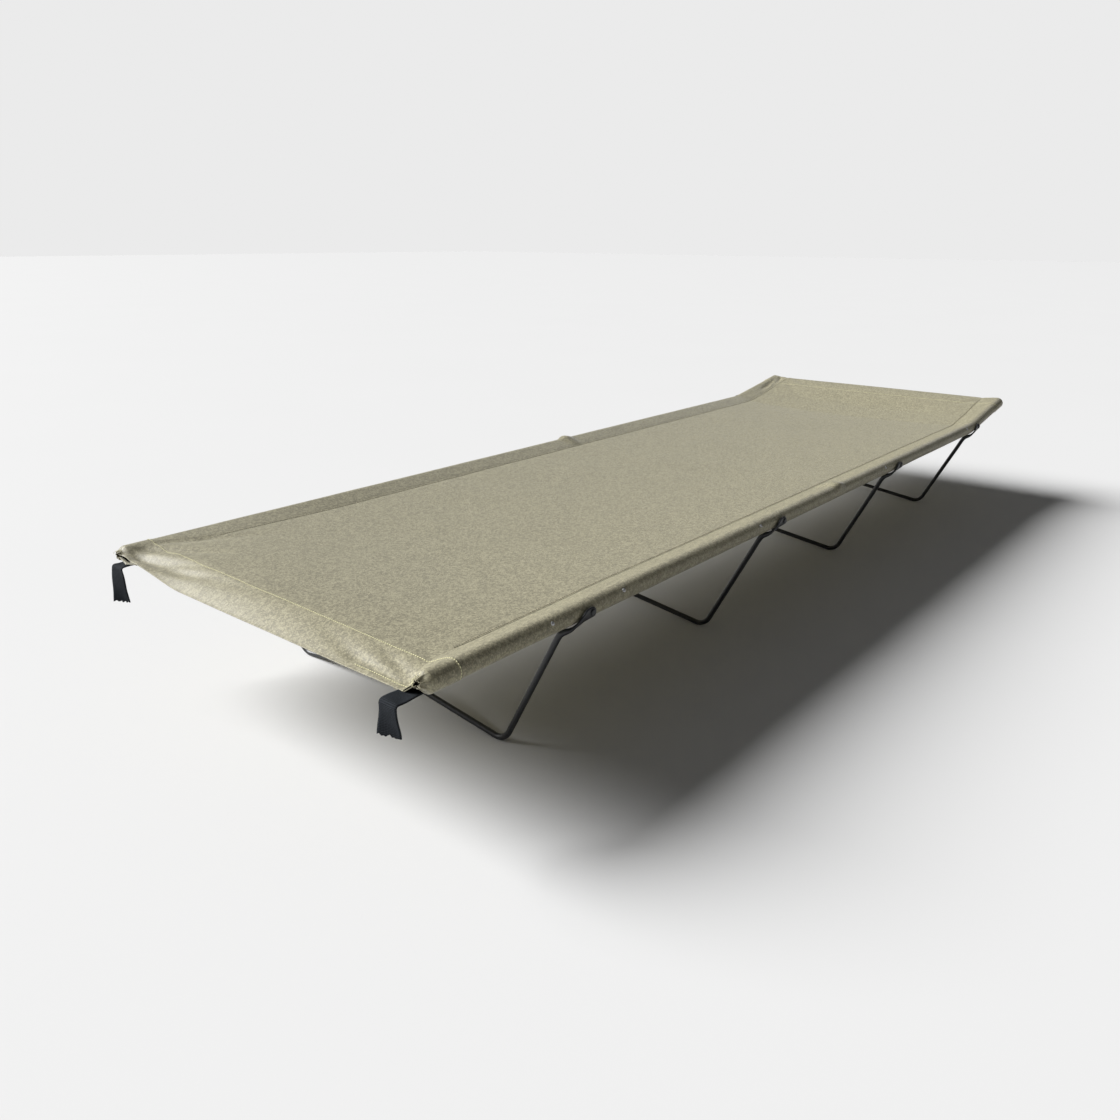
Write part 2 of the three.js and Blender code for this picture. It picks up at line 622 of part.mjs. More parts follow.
function hingePin(side) {
  const headFrom = TONGUE / 2 + HINGE_GAP + EAR + FIT;
  const pin = turned(
    [
      [0, -headFrom - HINGE_PIN_HEAD],
      [HINGE_PIN_HEAD_RADIUS * HINGE_PIN_TAPER, -headFrom - HINGE_PIN_HEAD],
      [HINGE_PIN_HEAD_RADIUS, -headFrom],
      [HINGE_PIN_RADIUS, -headFrom],
      [HINGE_PIN_RADIUS, headFrom],
      [HINGE_PIN_HEAD_RADIUS, headFrom],
      [HINGE_PIN_HEAD_RADIUS * HINGE_PIN_TAPER, headFrom + HINGE_PIN_HEAD],
      [0, headFrom + HINGE_PIN_HEAD],
    ],
    PIN_SIDES,
  );
  return onRail(named(`hinge_pin_${side.name}`, pin, bareSteel), 0, side.sign * RAIL_Y, AXIS_RISE);
}

function plugRivet(half, side) {
  const headFrom = TUBE_RADIUS + FIT;
  const rivet = turned(
    [
      [0, -PLUG_RIVET_PAST_CENTRE],
      [PLUG_RIVET_RADIUS, -PLUG_RIVET_PAST_CENTRE],
      [PLUG_RIVET_RADIUS, headFrom],
      [PLUG_RIVET_HEAD_RADIUS, headFrom],
      [PLUG_RIVET_HEAD_RADIUS * PLUG_RIVET_TAPER, headFrom + PLUG_RIVET_HEAD],
      [0, headFrom + PLUG_RIVET_HEAD],
    ],
    SMALL_PIN_SIDES,
  ).rotateZ(side.sign > 0 ? Math.PI : 0);
  const along = half === "foot" ? -PLUG_RIVET_AT : PLUG_RIVET_AT;
  return onRail(named(`plug_rivet_${half}_${side.name}`, rivet, bareSteel), along, side.sign * RAIL_Y);
}

// ---------------------------------------------------------------- webbing ties
function strap({ name, side, inset, reach, drop }) {
  const top = RAIL_HEIGHT - SLEEVE_OUTER - FIT;
  const root = -CLOTH_FOOT_END + STRAP_ROOT;
  const front = -CLOTH_FOOT_END - reach;
  const band = new THREE.Shape();
  band.moveTo(root, top);
  band.lineTo(front + STRAP_BEND, top);
  band.absarc(front + STRAP_BEND, top - STRAP_BEND, STRAP_BEND, Math.PI / 2, Math.PI, false);
  band.lineTo(front, top - drop);
  band.lineTo(front + STRAP, top - drop);
  band.absarc(front + STRAP_BEND, top - STRAP_BEND, STRAP_BEND - STRAP, Math.PI, Math.PI / 2, true);
  band.lineTo(root, top - STRAP);
  const webbing = new THREE.ExtrudeGeometry(band, {
    depth: STRAP_WIDTH,
    bevelEnabled: false,
    curveSegments: STRAP_CURVE_SEGMENTS,
  });
  webbing.rotateX(Math.PI / 2).translate(0, side * (RAIL_Y - inset) + STRAP_WIDTH / 2, 0);
  return named(name, webbing, blackWebbing);
}

// ---------------------------------------------------------------- assembly
function bedHalf(half) {
  const group = new THREE.Group();
  const legs = LEGS.filter((leg) => leg.half === half);
  for (const side of SIDES) {
    group.add(railTube(half, side), endCap(half, side), plugRivet(half, side));
    group.add(half === "foot" ? hingeFork(side) : hingeTongue(side));
    for (const leg of legs) group.add(pivotSpacer(leg, side), pivotRivet(leg, side));
    tackPlaces(half).forEach((along, index) => group.add(sleeveTack(half, side, along, index)));
  }
  group.add(clothBed(half));
  for (const leg of legs) group.add(wLeg(leg));
  return group;
}

const cot = new THREE.Group();
cot.add(bedHalf("foot"), bedHalf("head"));
for (const side of SIDES) cot.add(hingePin(side));
for (const tie of STRAPS) cot.add(strap(tie));

// The origin is on the floor, under the middle of the whole cot.
const box = new THREE.Box3().setFromObject(cot, true);
cot.position.set(-(box.min.x + box.max.x) / 2, -(box.min.y + box.max.y) / 2, -box.min.z);

export default cot;
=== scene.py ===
"""A low folding camp cot: a cloth bed sewn round two rails that fold in half, on four W-shaped rod legs.

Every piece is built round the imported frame, in metres, with +X towards the raised head end and +Y on
the left, looking that way. Places along the rails are measured from the fold line in the middle.
"""
import json
import math
import random
from functools import cache

import bmesh
import bpy
from bpy.props import FloatProperty, FloatVectorProperty, PointerProperty
from mathutils import Matrix, Vector, noise


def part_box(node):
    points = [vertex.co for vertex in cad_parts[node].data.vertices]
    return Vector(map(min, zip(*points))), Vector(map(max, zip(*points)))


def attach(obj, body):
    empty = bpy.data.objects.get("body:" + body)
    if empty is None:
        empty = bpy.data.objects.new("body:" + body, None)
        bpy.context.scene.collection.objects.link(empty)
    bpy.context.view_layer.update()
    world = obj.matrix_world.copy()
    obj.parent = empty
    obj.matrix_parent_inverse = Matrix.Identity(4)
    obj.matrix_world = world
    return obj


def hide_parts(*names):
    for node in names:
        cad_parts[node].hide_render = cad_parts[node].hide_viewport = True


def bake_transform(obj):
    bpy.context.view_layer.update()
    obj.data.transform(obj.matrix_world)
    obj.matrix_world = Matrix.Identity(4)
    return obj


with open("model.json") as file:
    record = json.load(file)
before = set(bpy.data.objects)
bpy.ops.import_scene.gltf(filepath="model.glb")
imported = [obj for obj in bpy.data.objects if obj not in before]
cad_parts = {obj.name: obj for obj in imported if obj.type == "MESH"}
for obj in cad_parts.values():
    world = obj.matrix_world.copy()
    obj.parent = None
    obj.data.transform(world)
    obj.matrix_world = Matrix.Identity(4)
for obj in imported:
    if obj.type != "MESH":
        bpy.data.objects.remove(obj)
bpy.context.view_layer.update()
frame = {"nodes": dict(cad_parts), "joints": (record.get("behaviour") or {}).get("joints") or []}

bl_info = {
    "name": "Folding Camp Cot",
    "version": (1, 0, 0),
    "blender": (4, 5, 0),
    "location": "View3D > Sidebar > Camp Cot",
    "description": "Builds the cloth, webbing, legs and fittings of a folding camp cot",
    "category": "Object",
}

# ---------------------------------------------------------------- places read from the frame


def joint_place(name):
    return Vector(next(joint["pos_m"] for joint in frame["joints"] if joint["name"] == name))


FOLD = joint_place("centre_fold")
_foot_rail_low, _foot_rail_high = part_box("rail_foot_left")
TUBE_RADIUS = (_foot_rail_high.z - _foot_rail_low.z) / 2
RAIL_Y = (_foot_rail_high.y + _foot_rail_low.y) / 2
RAIL_Z = (_foot_rail_high.z + _foot_rail_low.z) / 2
RAIL_END = FOLD.x - _foot_rail_low.x
CAP_FLANGE = _foot_rail_low.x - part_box("end_cap_foot_left")[0].x

# ---------------------------------------------------------------- sizes shared with the frame
FIT = 0.0003
HEAD_BEND_AT = 0.732
HEAD_BEND_ANGLE = math.radians(8.7)
HEAD_BEND_RADIUS = 0.120
BEND_START = HEAD_BEND_AT - HEAD_BEND_RADIUS * math.tan(HEAD_BEND_ANGLE / 2)
BEND_LENGTH = HEAD_BEND_RADIUS * HEAD_BEND_ANGLE
SEAM_INSET = 0.036
SEAM_Y = RAIL_Y - SEAM_INSET
SIDES = {"left": 1, "right": -1}
HALVES = {"foot": -1, "head": 1}
LEGS = {
    "leg_1": {"at": -0.741, "lean": 0.0, "half": "foot_half"},
    "leg_2": {"at": -0.258, "lean": 0.0, "half": "foot_half"},
    "leg_3": {"at": 0.230, "lean": math.radians(7), "half": "head_half"},
    "leg_4": {"at": 0.714, "lean": math.radians(8), "half": "head_half"},
}
ROD_RADIUS = 0.004
FOOT_BEND_RADIUS = 0.024
PEAK_BEND_RADIUS = 0.060
STEEP_ARM = math.radians(27.5)
SHALLOW_ARM = math.radians(8)
PIVOT_OFFSET = 0.040
BLADE_HALF_WIDTH = 0.0065
BLADE_HALF_THICKNESS = 0.0016
ROD_SQUARENESS = 2.0
BLADE_SQUARENESS = 3.0
# The rings of the blade's round tip, in degrees round its end, and how thin the outermost one is.
TIP_RINGS = (86, 72, 58, 44, 30, 15)
TIP_THINNING = 0.62
PRESS_START = 0.0
PRESS_END = 0.014
WIDEN_START = 0.018
WIDEN_END = 0.031
TURN_END = 0.008
ARM_LEAD = 0.030
BLADE_OUT = 0.0146
KNEE_DROP = 0.0165
# The crank's points: share of the way to the pivot, degrees below level round the rail, and how far
# out of the blade's own line, as a share of what the rod loses when it is pressed flat.
CRANK = [(0.79, 2, 0.04), (0.60, 12, 0.21), (0.40, 30, 0.40), (0.19, 55, 0.70), (0.04, 84, 1.10)]
SPACER = 0.0014
SPACER_RADIUS = 0.0052
PIVOT_RADIUS = 0.0025
PIVOT_HEAD_RADIUS = 0.00475
PIVOT_HEAD = 0.0018
PIVOT_HEAD_RIM = 0.0004
PIVOT_TAIL_RADIUS = 0.0040
PIVOT_TAIL = 0.0015
TACK_BEHIND_LEG = 0.027
EXTRA_TACK_AT = -0.633
CAP_SPIGOT = 0.012
CAP_SPIGOT_WALL = 0.0019
CAP_EDGE = 0.0014
TUBE_WALL = 0.0012
TACK_ANGLE = math.radians(30)
TACK_RADIUS = 0.0015
TACK_HEAD_RADIUS = 0.0026
TACK_HEAD = 0.0011
TACK_DEPTH = 0.0045
SLEEVE_WALL = 0.0009
SLEEVE_OUTER = TUBE_RADIUS + FIT + SLEEVE_WALL


def mix(a, b, share):
    return a + (b - a) * share


def smooth(start, end, value):
    share = min(max((value - start) / (end - start), 0.0), 1.0)
    return share * share * (3 - 2 * share)


def rail_slope(along):
    return min(max((along - BEND_START) / HEAD_BEND_RADIUS, 0.0), HEAD_BEND_ANGLE)


def rail_point(along, y=0.0, rise=0.0):
    """The point at a distance along the rail from the fold line, `rise` above the tube's centre line."""
    slope = rail_slope(along)
    level = min(along, BEND_START)
    beyond = max(along - BEND_START - BEND_LENGTH, 0.0)
    reach = HEAD_BEND_RADIUS - rise
    x = FOLD.x + level + reach * math.sin(slope) + beyond * math.cos(slope)
    z = RAIL_Z + rise + reach * (1 - math.cos(slope)) + beyond * math.sin(slope)
    return Vector((x, y, z))


def rail_turn(along):
    return Matrix.Rotation(-rail_slope(along), 4, "Y")


# ---------------------------------------------------------------- settings
def length(name, description, default):
    return FloatProperty(name=name, description=description, default=default, unit="LENGTH", precision=5)


def colour(name, description, default):
    return FloatVectorProperty(
        name=name, description=description, default=default, subtype="COLOR", size=3, min=0, max=1
    )


class CotClothSettings(bpy.types.PropertyGroup):
    thickness: length("Cloth", "Thickness of the woven polyester", 0.0005)
    layer_gap: length("Layer Gap", "Pitch of two layers in a folded hem", 0.0008)
    hem_width: length("Hem", "Width of the hems at both ends", 0.050)
    past_cap: length("Past Caps", "How far the foot hem runs past the end caps", 0.0085)
    seam_rise: length("Seam Rise", "Height of the sleeve seams over the rails' centres", 0.002)
    sag: length("Sag", "Depth of the bed below its seams in the middle", 0.008)
    hem_droop: length("Hem Droop", "How far the free edge of the foot hem hangs below the rails", 0.0125)
    allowance: length("Seam Allowance", "Cloth turned in past the seam, under the bed", 0.014)
    yarn: length("Yarn", "Pitch of the weave", 0.0011)
    speck: length("Specks", "Size of the heathered specks", 0.0015)
    base: colour("Cloth Colour", "Olive of the yarn", (0.238, 0.217, 0.142))
    light: colour("Light Yarn", "Paler fibres in the yarn", (0.395, 0.366, 0.242))
    dark: colour("Dark Yarn", "Hollows between the yarns", (0.148, 0.136, 0.088))
    thread: colour("Thread", "Sewing thread", (0.800, 0.770, 0.480))
    stitch: length("Stitch", "Length of one stitch", 0.0034)
    thread_radius: length("Thread Radius", "Radius of the sewing thread", 0.0006)


class CotMetalSettings(bpy.types.PropertyGroup):
    coat: colour("Powder Coat", "Black coating of the rods and rails", (0.011, 0.012, 0.014))
    worn: colour("Worn Coat", "Coating where it is scuffed", (0.085, 0.085, 0.088))
    steel: colour("Steel", "Bare rivets and spacers", (0.56, 0.56, 0.57))
    zinc: colour("Zinc", "Cast hinge blocks", (0.36, 0.365, 0.37))
    plastic: colour("Plastic", "Moulded end caps", (0.010, 0.010, 0.011))


class CotWebbingSettings(bpy.types.PropertyGroup):
    width: length("Width", "Width of the webbing", 0.025)
    thickness: length("Thickness", "Thickness of the webbing", 0.0014)
    rib: length("Rib", "Pitch of the ribs across the webbing", 0.0017)
    base: colour("Webbing Colour", "Black of the webbing", (0.007, 0.009, 0.011))
    fluff: colour("Webbing Fluff", "Greyer fibres on its faces", (0.030, 0.034, 0.041))


class CotStageSettings(bpy.types.PropertyGroup):
    floor: colour("Floor", "Plain pale floor", (0.64, 0.64, 0.64))
    sun: FloatProperty(name="Key Light", description="Strength of the large soft light", default=7.0)
    ambient: FloatProperty(name="Ambient", description="Strength of the surroundings' light", default=0.10)
    backdrop: FloatProperty(name="Backdrop", description="Brightness of the plain backdrop", default=0.83)
    lens: FloatProperty(name="Lens", description="Focal length", default=29.83, unit="CAMERA")


# ---------------------------------------------------------------- shader maths
class Signal:
    """A number that varies over a surface: expressions on it add Math nodes."""

    def __init__(self, finish, socket):
        self.finish = finish
        self.socket = socket

    def _math(self, operation, first, second):
        return self.finish.node("ShaderNodeMath", {"operation": operation}, {0: first, 1: second})

    def __add__(self, other):
        return self._math("ADD", self, other)

    def __radd__(self, other):
        return self._math("ADD", other, self)

    def __sub__(self, other):
        return self._math("SUBTRACT", self, other)

    def __rsub__(self, other):
        return self._math("SUBTRACT", other, self)

    def __mul__(self, other):
        return self._math("MULTIPLY", self, other)

    def __rmul__(self, other):
        return self._math("MULTIPLY", other, self)


class Finish:
    """A material and its nodes; the shader's own sockets hold what is the same all over."""

    def __init__(self, name, **constants):
        self.material = bpy.data.materials.new(name)
        self.material.use_nodes = True
        self.nodes = self.material.node_tree.nodes
        self.links = self.material.node_tree.links
        self.shader = self.nodes["Principled BSDF"]
        for socket, value in constants.items():
            self.shader.inputs[socket.replace("_", " ")].default_value = value

    def node(self, kind, settings=None, inputs=None, output=0):
        """One node: its settings first, then the values or links of its sockets."""
        node = self.nodes.new(kind)
        for name, value in (settings or {}).items():
            if name == "stops":
                self._set_stops(node.color_ramp, value)
            else:
                setattr(node, name, value)
        for name, value in (inputs or {}).items():
            self._feed(node.inputs[name], value)
        return Signal(self, node.outputs[output])

    def _set_stops(self, ramp, stops):
        while len(ramp.elements) < len(stops):
            ramp.elements.new(0.5)
        for element, (place, shade) in zip(ramp.elements, stops):
            element.position = place
            element.color = (*shade, 1.0) if hasattr(shade, "__len__") else (shade, shade, shade, 1.0)

    def _feed(self, socket, value):
        if isinstance(value, Signal):
            self.links.new(value.socket, socket)
        elif socket.type == "RGBA" and len(value) == 3:
            socket.default_value = (*value, 1.0)
        else:
            socket.default_value = value

    def set(self, **inputs):
        for name, value in inputs.items():
            self._feed(self.shader.inputs[name.replace("_", " ")], value)

    def surface(self):
        """The piece's own UV map, in metres along and across the cloth."""
        return self.node("ShaderNodeTexCoord", output="UV")

    def place(self):
        return self.node("ShaderNodeTexCoord", output="Object")

    def noise(self, vector, scale, detail=3.0, roughness=0.55):
        inputs = {"Vector": vector, "Scale": scale, "Detail": detail, "Roughness": roughness}
        return self.node("ShaderNodeTexNoise", None, inputs)

    def blend(self, factor, first, second):
        """A colour between two others."""
        inputs = {"Factor": factor, 6: first, 7: second}
        return self.node("ShaderNodeMix", {"data_type": "RGBA", "clamp_factor": True}, inputs, output=2)

    def step(self, value, start, end):
        """0 below start, 1 above end, smooth between."""
        inputs = {"Value": value, "From Min": start, "From Max": end}
        return self.node("ShaderNodeMapRange", {"interpolation_type": "SMOOTHSTEP"}, inputs)

    def bump(self, height, distance, strength=1.0):
        inputs = {"Height": height, "Distance": distance, "Strength": strength}
        self.set(Normal=self.node("ShaderNodeBump", None, inputs))

    def axes(self, vector):
        return [self.node("ShaderNodeSeparateXYZ", None, {0: vector}, output=i) for i in range(3)]

    def flecks(self, vector, width, length):
        """A random value for each small cell of the surface."""
        cell = self.node("ShaderNodeVectorMath", {"operation": "SNAP"}, {0: vector, 1: (width, length, 1.0)})
        return self.node("ShaderNodeTexWhiteNoise", {"noise_dimensions": "2D"}, {"Vector": cell})

    def wave(self, value, pitch):
        """A sine of a distance, from 0 to 1."""
        turned = value * (2 * math.pi / pitch)
        return self.node("ShaderNodeMath", {"operation": "SINE"}, {0: turned}) * 0.5 + 0.5


@cache
def olive_cloth():
    cloth = bpy.context.scene.cot_cloth
    finish = Finish("olive_cloth", Specular_IOR_Level=0.42, Sheen_Weight=0.22, Sheen_Roughness=0.42)
    uv = finish.surface()
    across, along, _ = finish.axes(uv)
    weave = finish.wave(across, cloth.yarn) * finish.wave(along, cloth.yarn * 1.15)
    fleck = finish.flecks(uv, cloth.speck, cloth.speck * 0.8)
    mottle = finish.flecks(uv, cloth.speck * 1.9, cloth.speck * 2.6)
    slub = finish.noise(uv, 420.0, detail=3.0)
    cloud = finish.noise(uv, 5.0, detail=3.0)
    pale = finish.step(fleck * 0.75 + slub * 0.45, 0.55, 1.05)
    shade = finish.blend(pale, cloth.base, cloth.light)
    hollow = finish.step(fleck * 0.8 + weave * 0.3 + slub * 0.3, 0.55, 0.15)
    shade = finish.blend(hollow * 0.75, shade, cloth.dark)
    shade = finish.blend(finish.step(mottle, 0.5, 1.0) * 0.38, shade, cloth.light)
    shade = finish.blend(finish.step(mottle, 0.5, 0.0) * 0.42, shade, cloth.dark)
    drift = finish.step(cloud, 0.3, 0.75)
    shade = finish.blend(drift * 0.05, shade, cloth.dark)
    finish.set(Base_Color=shade, Roughness=0.46 + pale * 0.10 + drift * 0.05)
    crumple = finish.noise(uv, 22.0, detail=4.0, roughness=0.5)
    finish.bump(weave * 0.00020 + slub * 0.00014 + crumple * 0.0007, 1.0, 0.75)
    return finish.material


def shaded(colour, share):
    return tuple(value * share for value in colour)


def thread_finish(name, colour, dull_share, **constants):
    """A thread, duller in the hollows of its twist."""
    finish = Finish(name, **constants)
    twist = finish.noise(finish.place(), 900.0, detail=2.0)
    finish.set(Base_Color=finish.blend(twist, shaded(colour, dull_share), colour))
    return finish, twist


@cache
def sewing_thread():
    thread = bpy.context.scene.cot_cloth.thread
    finish, twist = thread_finish("sewing_thread", thread, 0.8, Roughness=0.6, Specular_IOR_Level=0.35)
    finish.bump(twist, 0.0001)
    return finish.material


@cache
def seam_thread():
    thread = bpy.context.scene.cot_cloth.dark
    finish, _ = thread_finish("seam_thread", thread, 0.6, Roughness=0.7, Specular_IOR_Level=0.3)
    return finish.material


@cache
def black_webbing():
    webbing = bpy.context.scene.cot_webbing
    finish = Finish("black_webbing", Specular_IOR_Level=0.12)
    uv = finish.surface()
    across, along, _ = finish.axes(uv)
    ribs = finish.wave(along, webbing.rib)
    strands = finish.wave(across, webbing.rib * 0.9)
    fluff = finish.noise(uv, 700.0, detail=3.0)
    patch = finish.noise(uv, 60.0, detail=3.0)
    tone = finish.step(fluff * 0.7 + ribs * 0.3 + patch * 0.3, 0.45, 0.95)
    colour = finish.blend(tone, webbing.base, webbing.fluff)
    finish.set(Base_Color=colour, Roughness=0.74 + fluff * 0.2)
    finish.bump(ribs * strands * 0.00035 + fluff * 0.00025, 1.0)
    return finish.material


@cache
def powder_coat():
    metal = bpy.context.scene.cot_metal
    finish = Finish("powder_coat", Metallic=0.0, Specular_IOR_Level=0.5)
    place = finish.place()
    grain = finish.noise(place, 1400.0, detail=2.0)
    scuff = finish.noise(place, 95.0, detail=6.0, roughness=0.7)
    height = finish.axes(place)[2]
    near_floor = finish.step(height, 0.0075, 0.0005)
    wear = finish.step(scuff + near_floor * 0.22, 0.66, 0.80)
    roughness = 0.34 + grain * 0.10 + wear * 0.25
    finish.set(Base_Color=finish.blend(wear, metal.coat, metal.worn), Roughness=roughness)
    finish.bump(grain * 0.00006 + scuff * 0.0001, 1.0)
    return finish.material


@cache
def bare_steel():
    metal = bpy.context.scene.cot_metal
    finish = Finish("bare_steel", Metallic=1.0)
    place = finish.place()
    scratch = finish.noise(place, 800.0, detail=4.0)
    tarnish = finish.step(finish.noise(place, 160.0, detail=4.0), 0.5, 0.72)
    dull = shaded(metal.steel, 0.45)
    roughness = 0.26 + scratch * 0.16 + tarnish * 0.2
    finish.set(Base_Color=finish.blend(tarnish, metal.steel, dull), Roughness=roughness)
    finish.bump(scratch, 0.00006)
    return finish.material


@cache
def cast_zinc():
    metal = bpy.context.scene.cot_metal
    finish = Finish("cast_zinc", Metallic=0.9)
    skin = finish.noise(finish.place(), 600.0, detail=5.0)
    dull = shaded(metal.zinc, 0.7)
    finish.set(Base_Color=finish.blend(skin, metal.zinc, dull), Roughness=0.42 + skin * 0.22)
    finish.bump(skin, 0.0001)
    return finish.material


@cache
def black_plastic():
    metal = bpy.context.scene.cot_metal
    finish = Finish("black_plastic")
    spark = finish.noise(finish.place(), 2200.0, detail=2.0)
    pale = shaded(metal.plastic, 2.2)
    finish.set(Base_Color=finish.blend(spark, metal.plastic, pale), Roughness=0.48 + spark * 0.15)
    finish.bump(spark, 0.00005)
    return finish.material


RIGID_FINISHES = {
    "powder_coat": powder_coat,
    "bare_steel": bare_steel,
    "cast_zinc": cast_zinc,
    "black_plastic": black_plastic,
}


# ---------------------------------------------------------------- mesh helpers
def publish(name, bm, material, smooth_faces=True):
    """The finished bmesh as an object with its finish."""
    mesh = bpy.data.meshes.new(name)
    for face in bm.faces:
        face.smooth = smooth_faces
    bm.to_mesh(mesh)
    bm.free()
    piece = bpy.data.objects.new(name, mesh)
    bpy.context.scene.collection.objects.link(piece)
    mesh.materials.append(material)
    return piece


def fitting(name, bm, slot, node, body):
    """A rigid piece that stands for one node of the frame and rides on its body."""
    piece = publish(name, bm, RIGID_FINISHES[slot]())
    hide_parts(node)
    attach(piece, body)


def grid_of_cloth(name, columns, rows, place, material, thickness):
    """A grid with place(column, row) -> (point, (u, v)) for each corner, given its thickness."""
    bm = bmesh.new()
    bmesh.ops.create_grid(bm, x_segments=columns - 1, y_segments=rows - 1, size=0.5)
    layer = bm.loops.layers.uv.new("surface")
    flat = {}
    for vert in bm.verts:
        column = round((vert.co.x + 0.5) * (columns - 1))
        row = round((vert.co.y + 0.5) * (rows - 1))
        vert.co, flat[vert] = place(column, row)
    for face in bm.faces:
        for loop in face.loops:
            loop[layer].uv = flat[loop.vert]
    piece = publish(name, bm, material)
    solidify = piece.modifiers.new("thickness", "SOLIDIFY")
    solidify.thickness = thickness
    solidify.offset = 0.0
    return piece


def lathed(profile, steps=28):
    """A solid of revolution about the y axis, from (radius, y) pairs that start and end on the axis."""
    bm = bmesh.new()
    verts = [bm.verts.new((radius, y, 0.0)) for radius, y in profile]
    edges = [bm.edges.new(pair) for pair in zip(verts, verts[1:])]
    bmesh.ops.spin(
        bm, geom=verts + edges, cent=(0, 0, 0), axis=(0, 1, 0), angle=2 * math.pi, steps=steps, use_merge=True
    )
    bmesh.ops.remove_doubles(bm, verts=bm.verts, dist=1e-6)
    bmesh.ops.recalc_face_normals(bm, faces=bm.faces)
    return bm


def swept_bar(stations, sides):
    """A closed bar through stations of (centre, direction of the thin side, half width, half
    thickness, squareness), made by extruding one ring from station to station."""
    bm = bmesh.new()
    ring = bmesh.ops.create_circle(bm, segments=sides, radius=1.0)["verts"]
    shares = [(vert.co.x, vert.co.y) for vert in ring]
    centres = [station[0] for station in stations]
    rings = []
    for index, station in enumerate(stations):
        if index:
            edges = {edge for vert in ring for edge in vert.link_edges if edge.other_vert(vert) in ring}
            ordered = list(ring)
            grown = bmesh.ops.extrude_edge_only(bm, edges=sorted(edges, key=lambda edge: edge.index))["geom"]
            ring = match_ring(ordered, [item for item in grown if isinstance(item, bmesh.types.BMVert)])
        centre, flat, half_width, half_thickness, squareness = station
        before = centres[max(index - 1, 0)]
        after = centres[min(index + 1, len(centres) - 1)]
        tangent = (after - before).normalized()
        thin = (flat - tangent * flat.dot(tangent)).normalized()
        wide = thin.cross(tangent)
        for vert, (x, y) in zip(ring, shares):
            reach = (abs(x) ** squareness + abs(y) ** squareness) ** (-1 / squareness)
            vert.co = centre + wide * (x * reach * half_width) + thin * (y * reach * half_thickness)
        rings.append(ring)
        bm.verts.index_update()
        bm.edges.index_update()
    for end in (rings[0], rings[-1]):
        bm.faces.new(end)
    bmesh.ops.recalc_face_normals(bm, faces=bm.faces)
    return bm


def match_ring(old, new):
    """The new ring's corners in the old ring's order: each still lies on the one it grew from."""
    fresh = {vert: None for vert in new}
    ordered = []
    for vert in old:
        mate = min(fresh, key=lambda candidate: (candidate.co - vert.co).length_squared)
        del fresh[mate]
        ordered.append(mate)
    return ordered


# ---------------------------------------------------------------- shape of the cloth bed
# How many columns each part of the cut cloth has.
SLEEVE_COLUMNS = 8
ARC_COLUMNS = 26
ALLOWANCE_COLUMNS = 3
BED_COLUMNS = 90

SEAM_LAYERS = 0.0012
SEAM_DIP = 0.0008
SEAM_DIP_STRETCH = (0.06, 0.12)
SEAM_FROM = {"left": 0.130, "right": 0.085}
HEM_THREAD = {"foot": 1.0, "head": 0.55}
HEM_STEP = 0.004

# The sleeve over the hinge blocks: a squarer round that is a little wider and taller than the tube.
FOLD_WIDE = 0.0004
FOLD_TALL = 0.0164
FOLD_SQUARENESS = 4
FOLD_TENT_REACH = 0.024
FOLD_BLEND = 0.030

# The foot hem: where the bed starts to lift to it, its own rise, and how its free edge hangs.
FOOT_LIFT_FROM = -0.60
FOOT_LIFT_DONE = 0.010
STITCH_NEAR_RISE = -0.001
STITCH_FAR_RISE = 0.0085
DROOP_CURVE = 1.6
DROOP_UP_FROM = 0.14
DROOP_CORNER_RISE = 0.001
NEAR_CORNER_INSET = 0.022
NEAR_CORNER_RUN = 1.4
HEAD_LIFT_FROM = 0.80
HEAD_EDGE_RISE = 0.009

# The open end of the foot sleeve, gathered in over the cap.
MOUTH_FROM = 0.002
MOUTH_HEART = Vector((-0.001, 0.003))
MOUTH_GATHER = 0.66
MOUTH_RIPPLE = 0.0014
MOUTH_FINE_RIPPLE = 0.0009
MOUTH_WIDTH = 0.020

# The creases and the unevenness fade out over the tube, which holds the cloth.
SUPPORTED_BY_TUBE = (0.004, 0.022)
BED_WOBBLE = 0.0009
SLEEVE_WOBBLE = 0.0006

CREASE_DEPTH = 1.35
CREASE_START = (-0.10, 0.12)
CREASE_END = (1.0, 0.35)

# Soft creases that fan out from the corners, as (along, y) of both ends, depth and half width.
CREASES = [
    ((-0.952, 0.288), (-0.905, 0.120), 0.0040, 0.0070),
    ((-0.946, 0.268), (-0.925, 0.090), 0.0030, 0.0060),
    ((-0.946, 0.300), (-0.850, 0.160), 0.0034, 0.0085),
    ((-0.938, 0.300), (-0.740, 0.205), 0.0020, 0.0095),
    ((-0.952, 0.235), (-0.912, 0.080), 0.0016, 0.0070),
    ((-0.930, 0.120), (-0.905, -0.020), 0.0010, 0.0090),
    ((-0.948, -0.210), (-0.915, -0.060), 0.0012, 0.0080),
    ((-0.950, -0.274), (-0.940, -0.130), 0.0024, 0.0050),
    ((-0.946, -0.284), (-0.915, -0.180), 0.0026, 0.0060),
    ((-0.930, -0.290), (-0.880, -0.225), 0.0012, 0.0060),
    ((0.940, 0.291), (0.800, 0.274), 0.0055, 0.0050),
    ((0.942, 0.280), (0.850, 0.262), 0.0036, 0.0050),
    ((0.935, 0.280), (0.860, 0.235), 0.0016, 0.0060),
    ((0.930, 0.262), (0.830, 0.180), 0.0014, 0.0080),
    ((0.938, 0.240), (0.880, 0.120), 0.0010, 0.0080),
    ((0.936, -0.270), (0.850, -0.180), 0.0012, 0.0080),
]


def foot_edge():
    return -(RAIL_END + CAP_FLANGE + bpy.context.scene.cot_cloth.past_cap)


def head_edge():
    return RAIL_END - 0.001


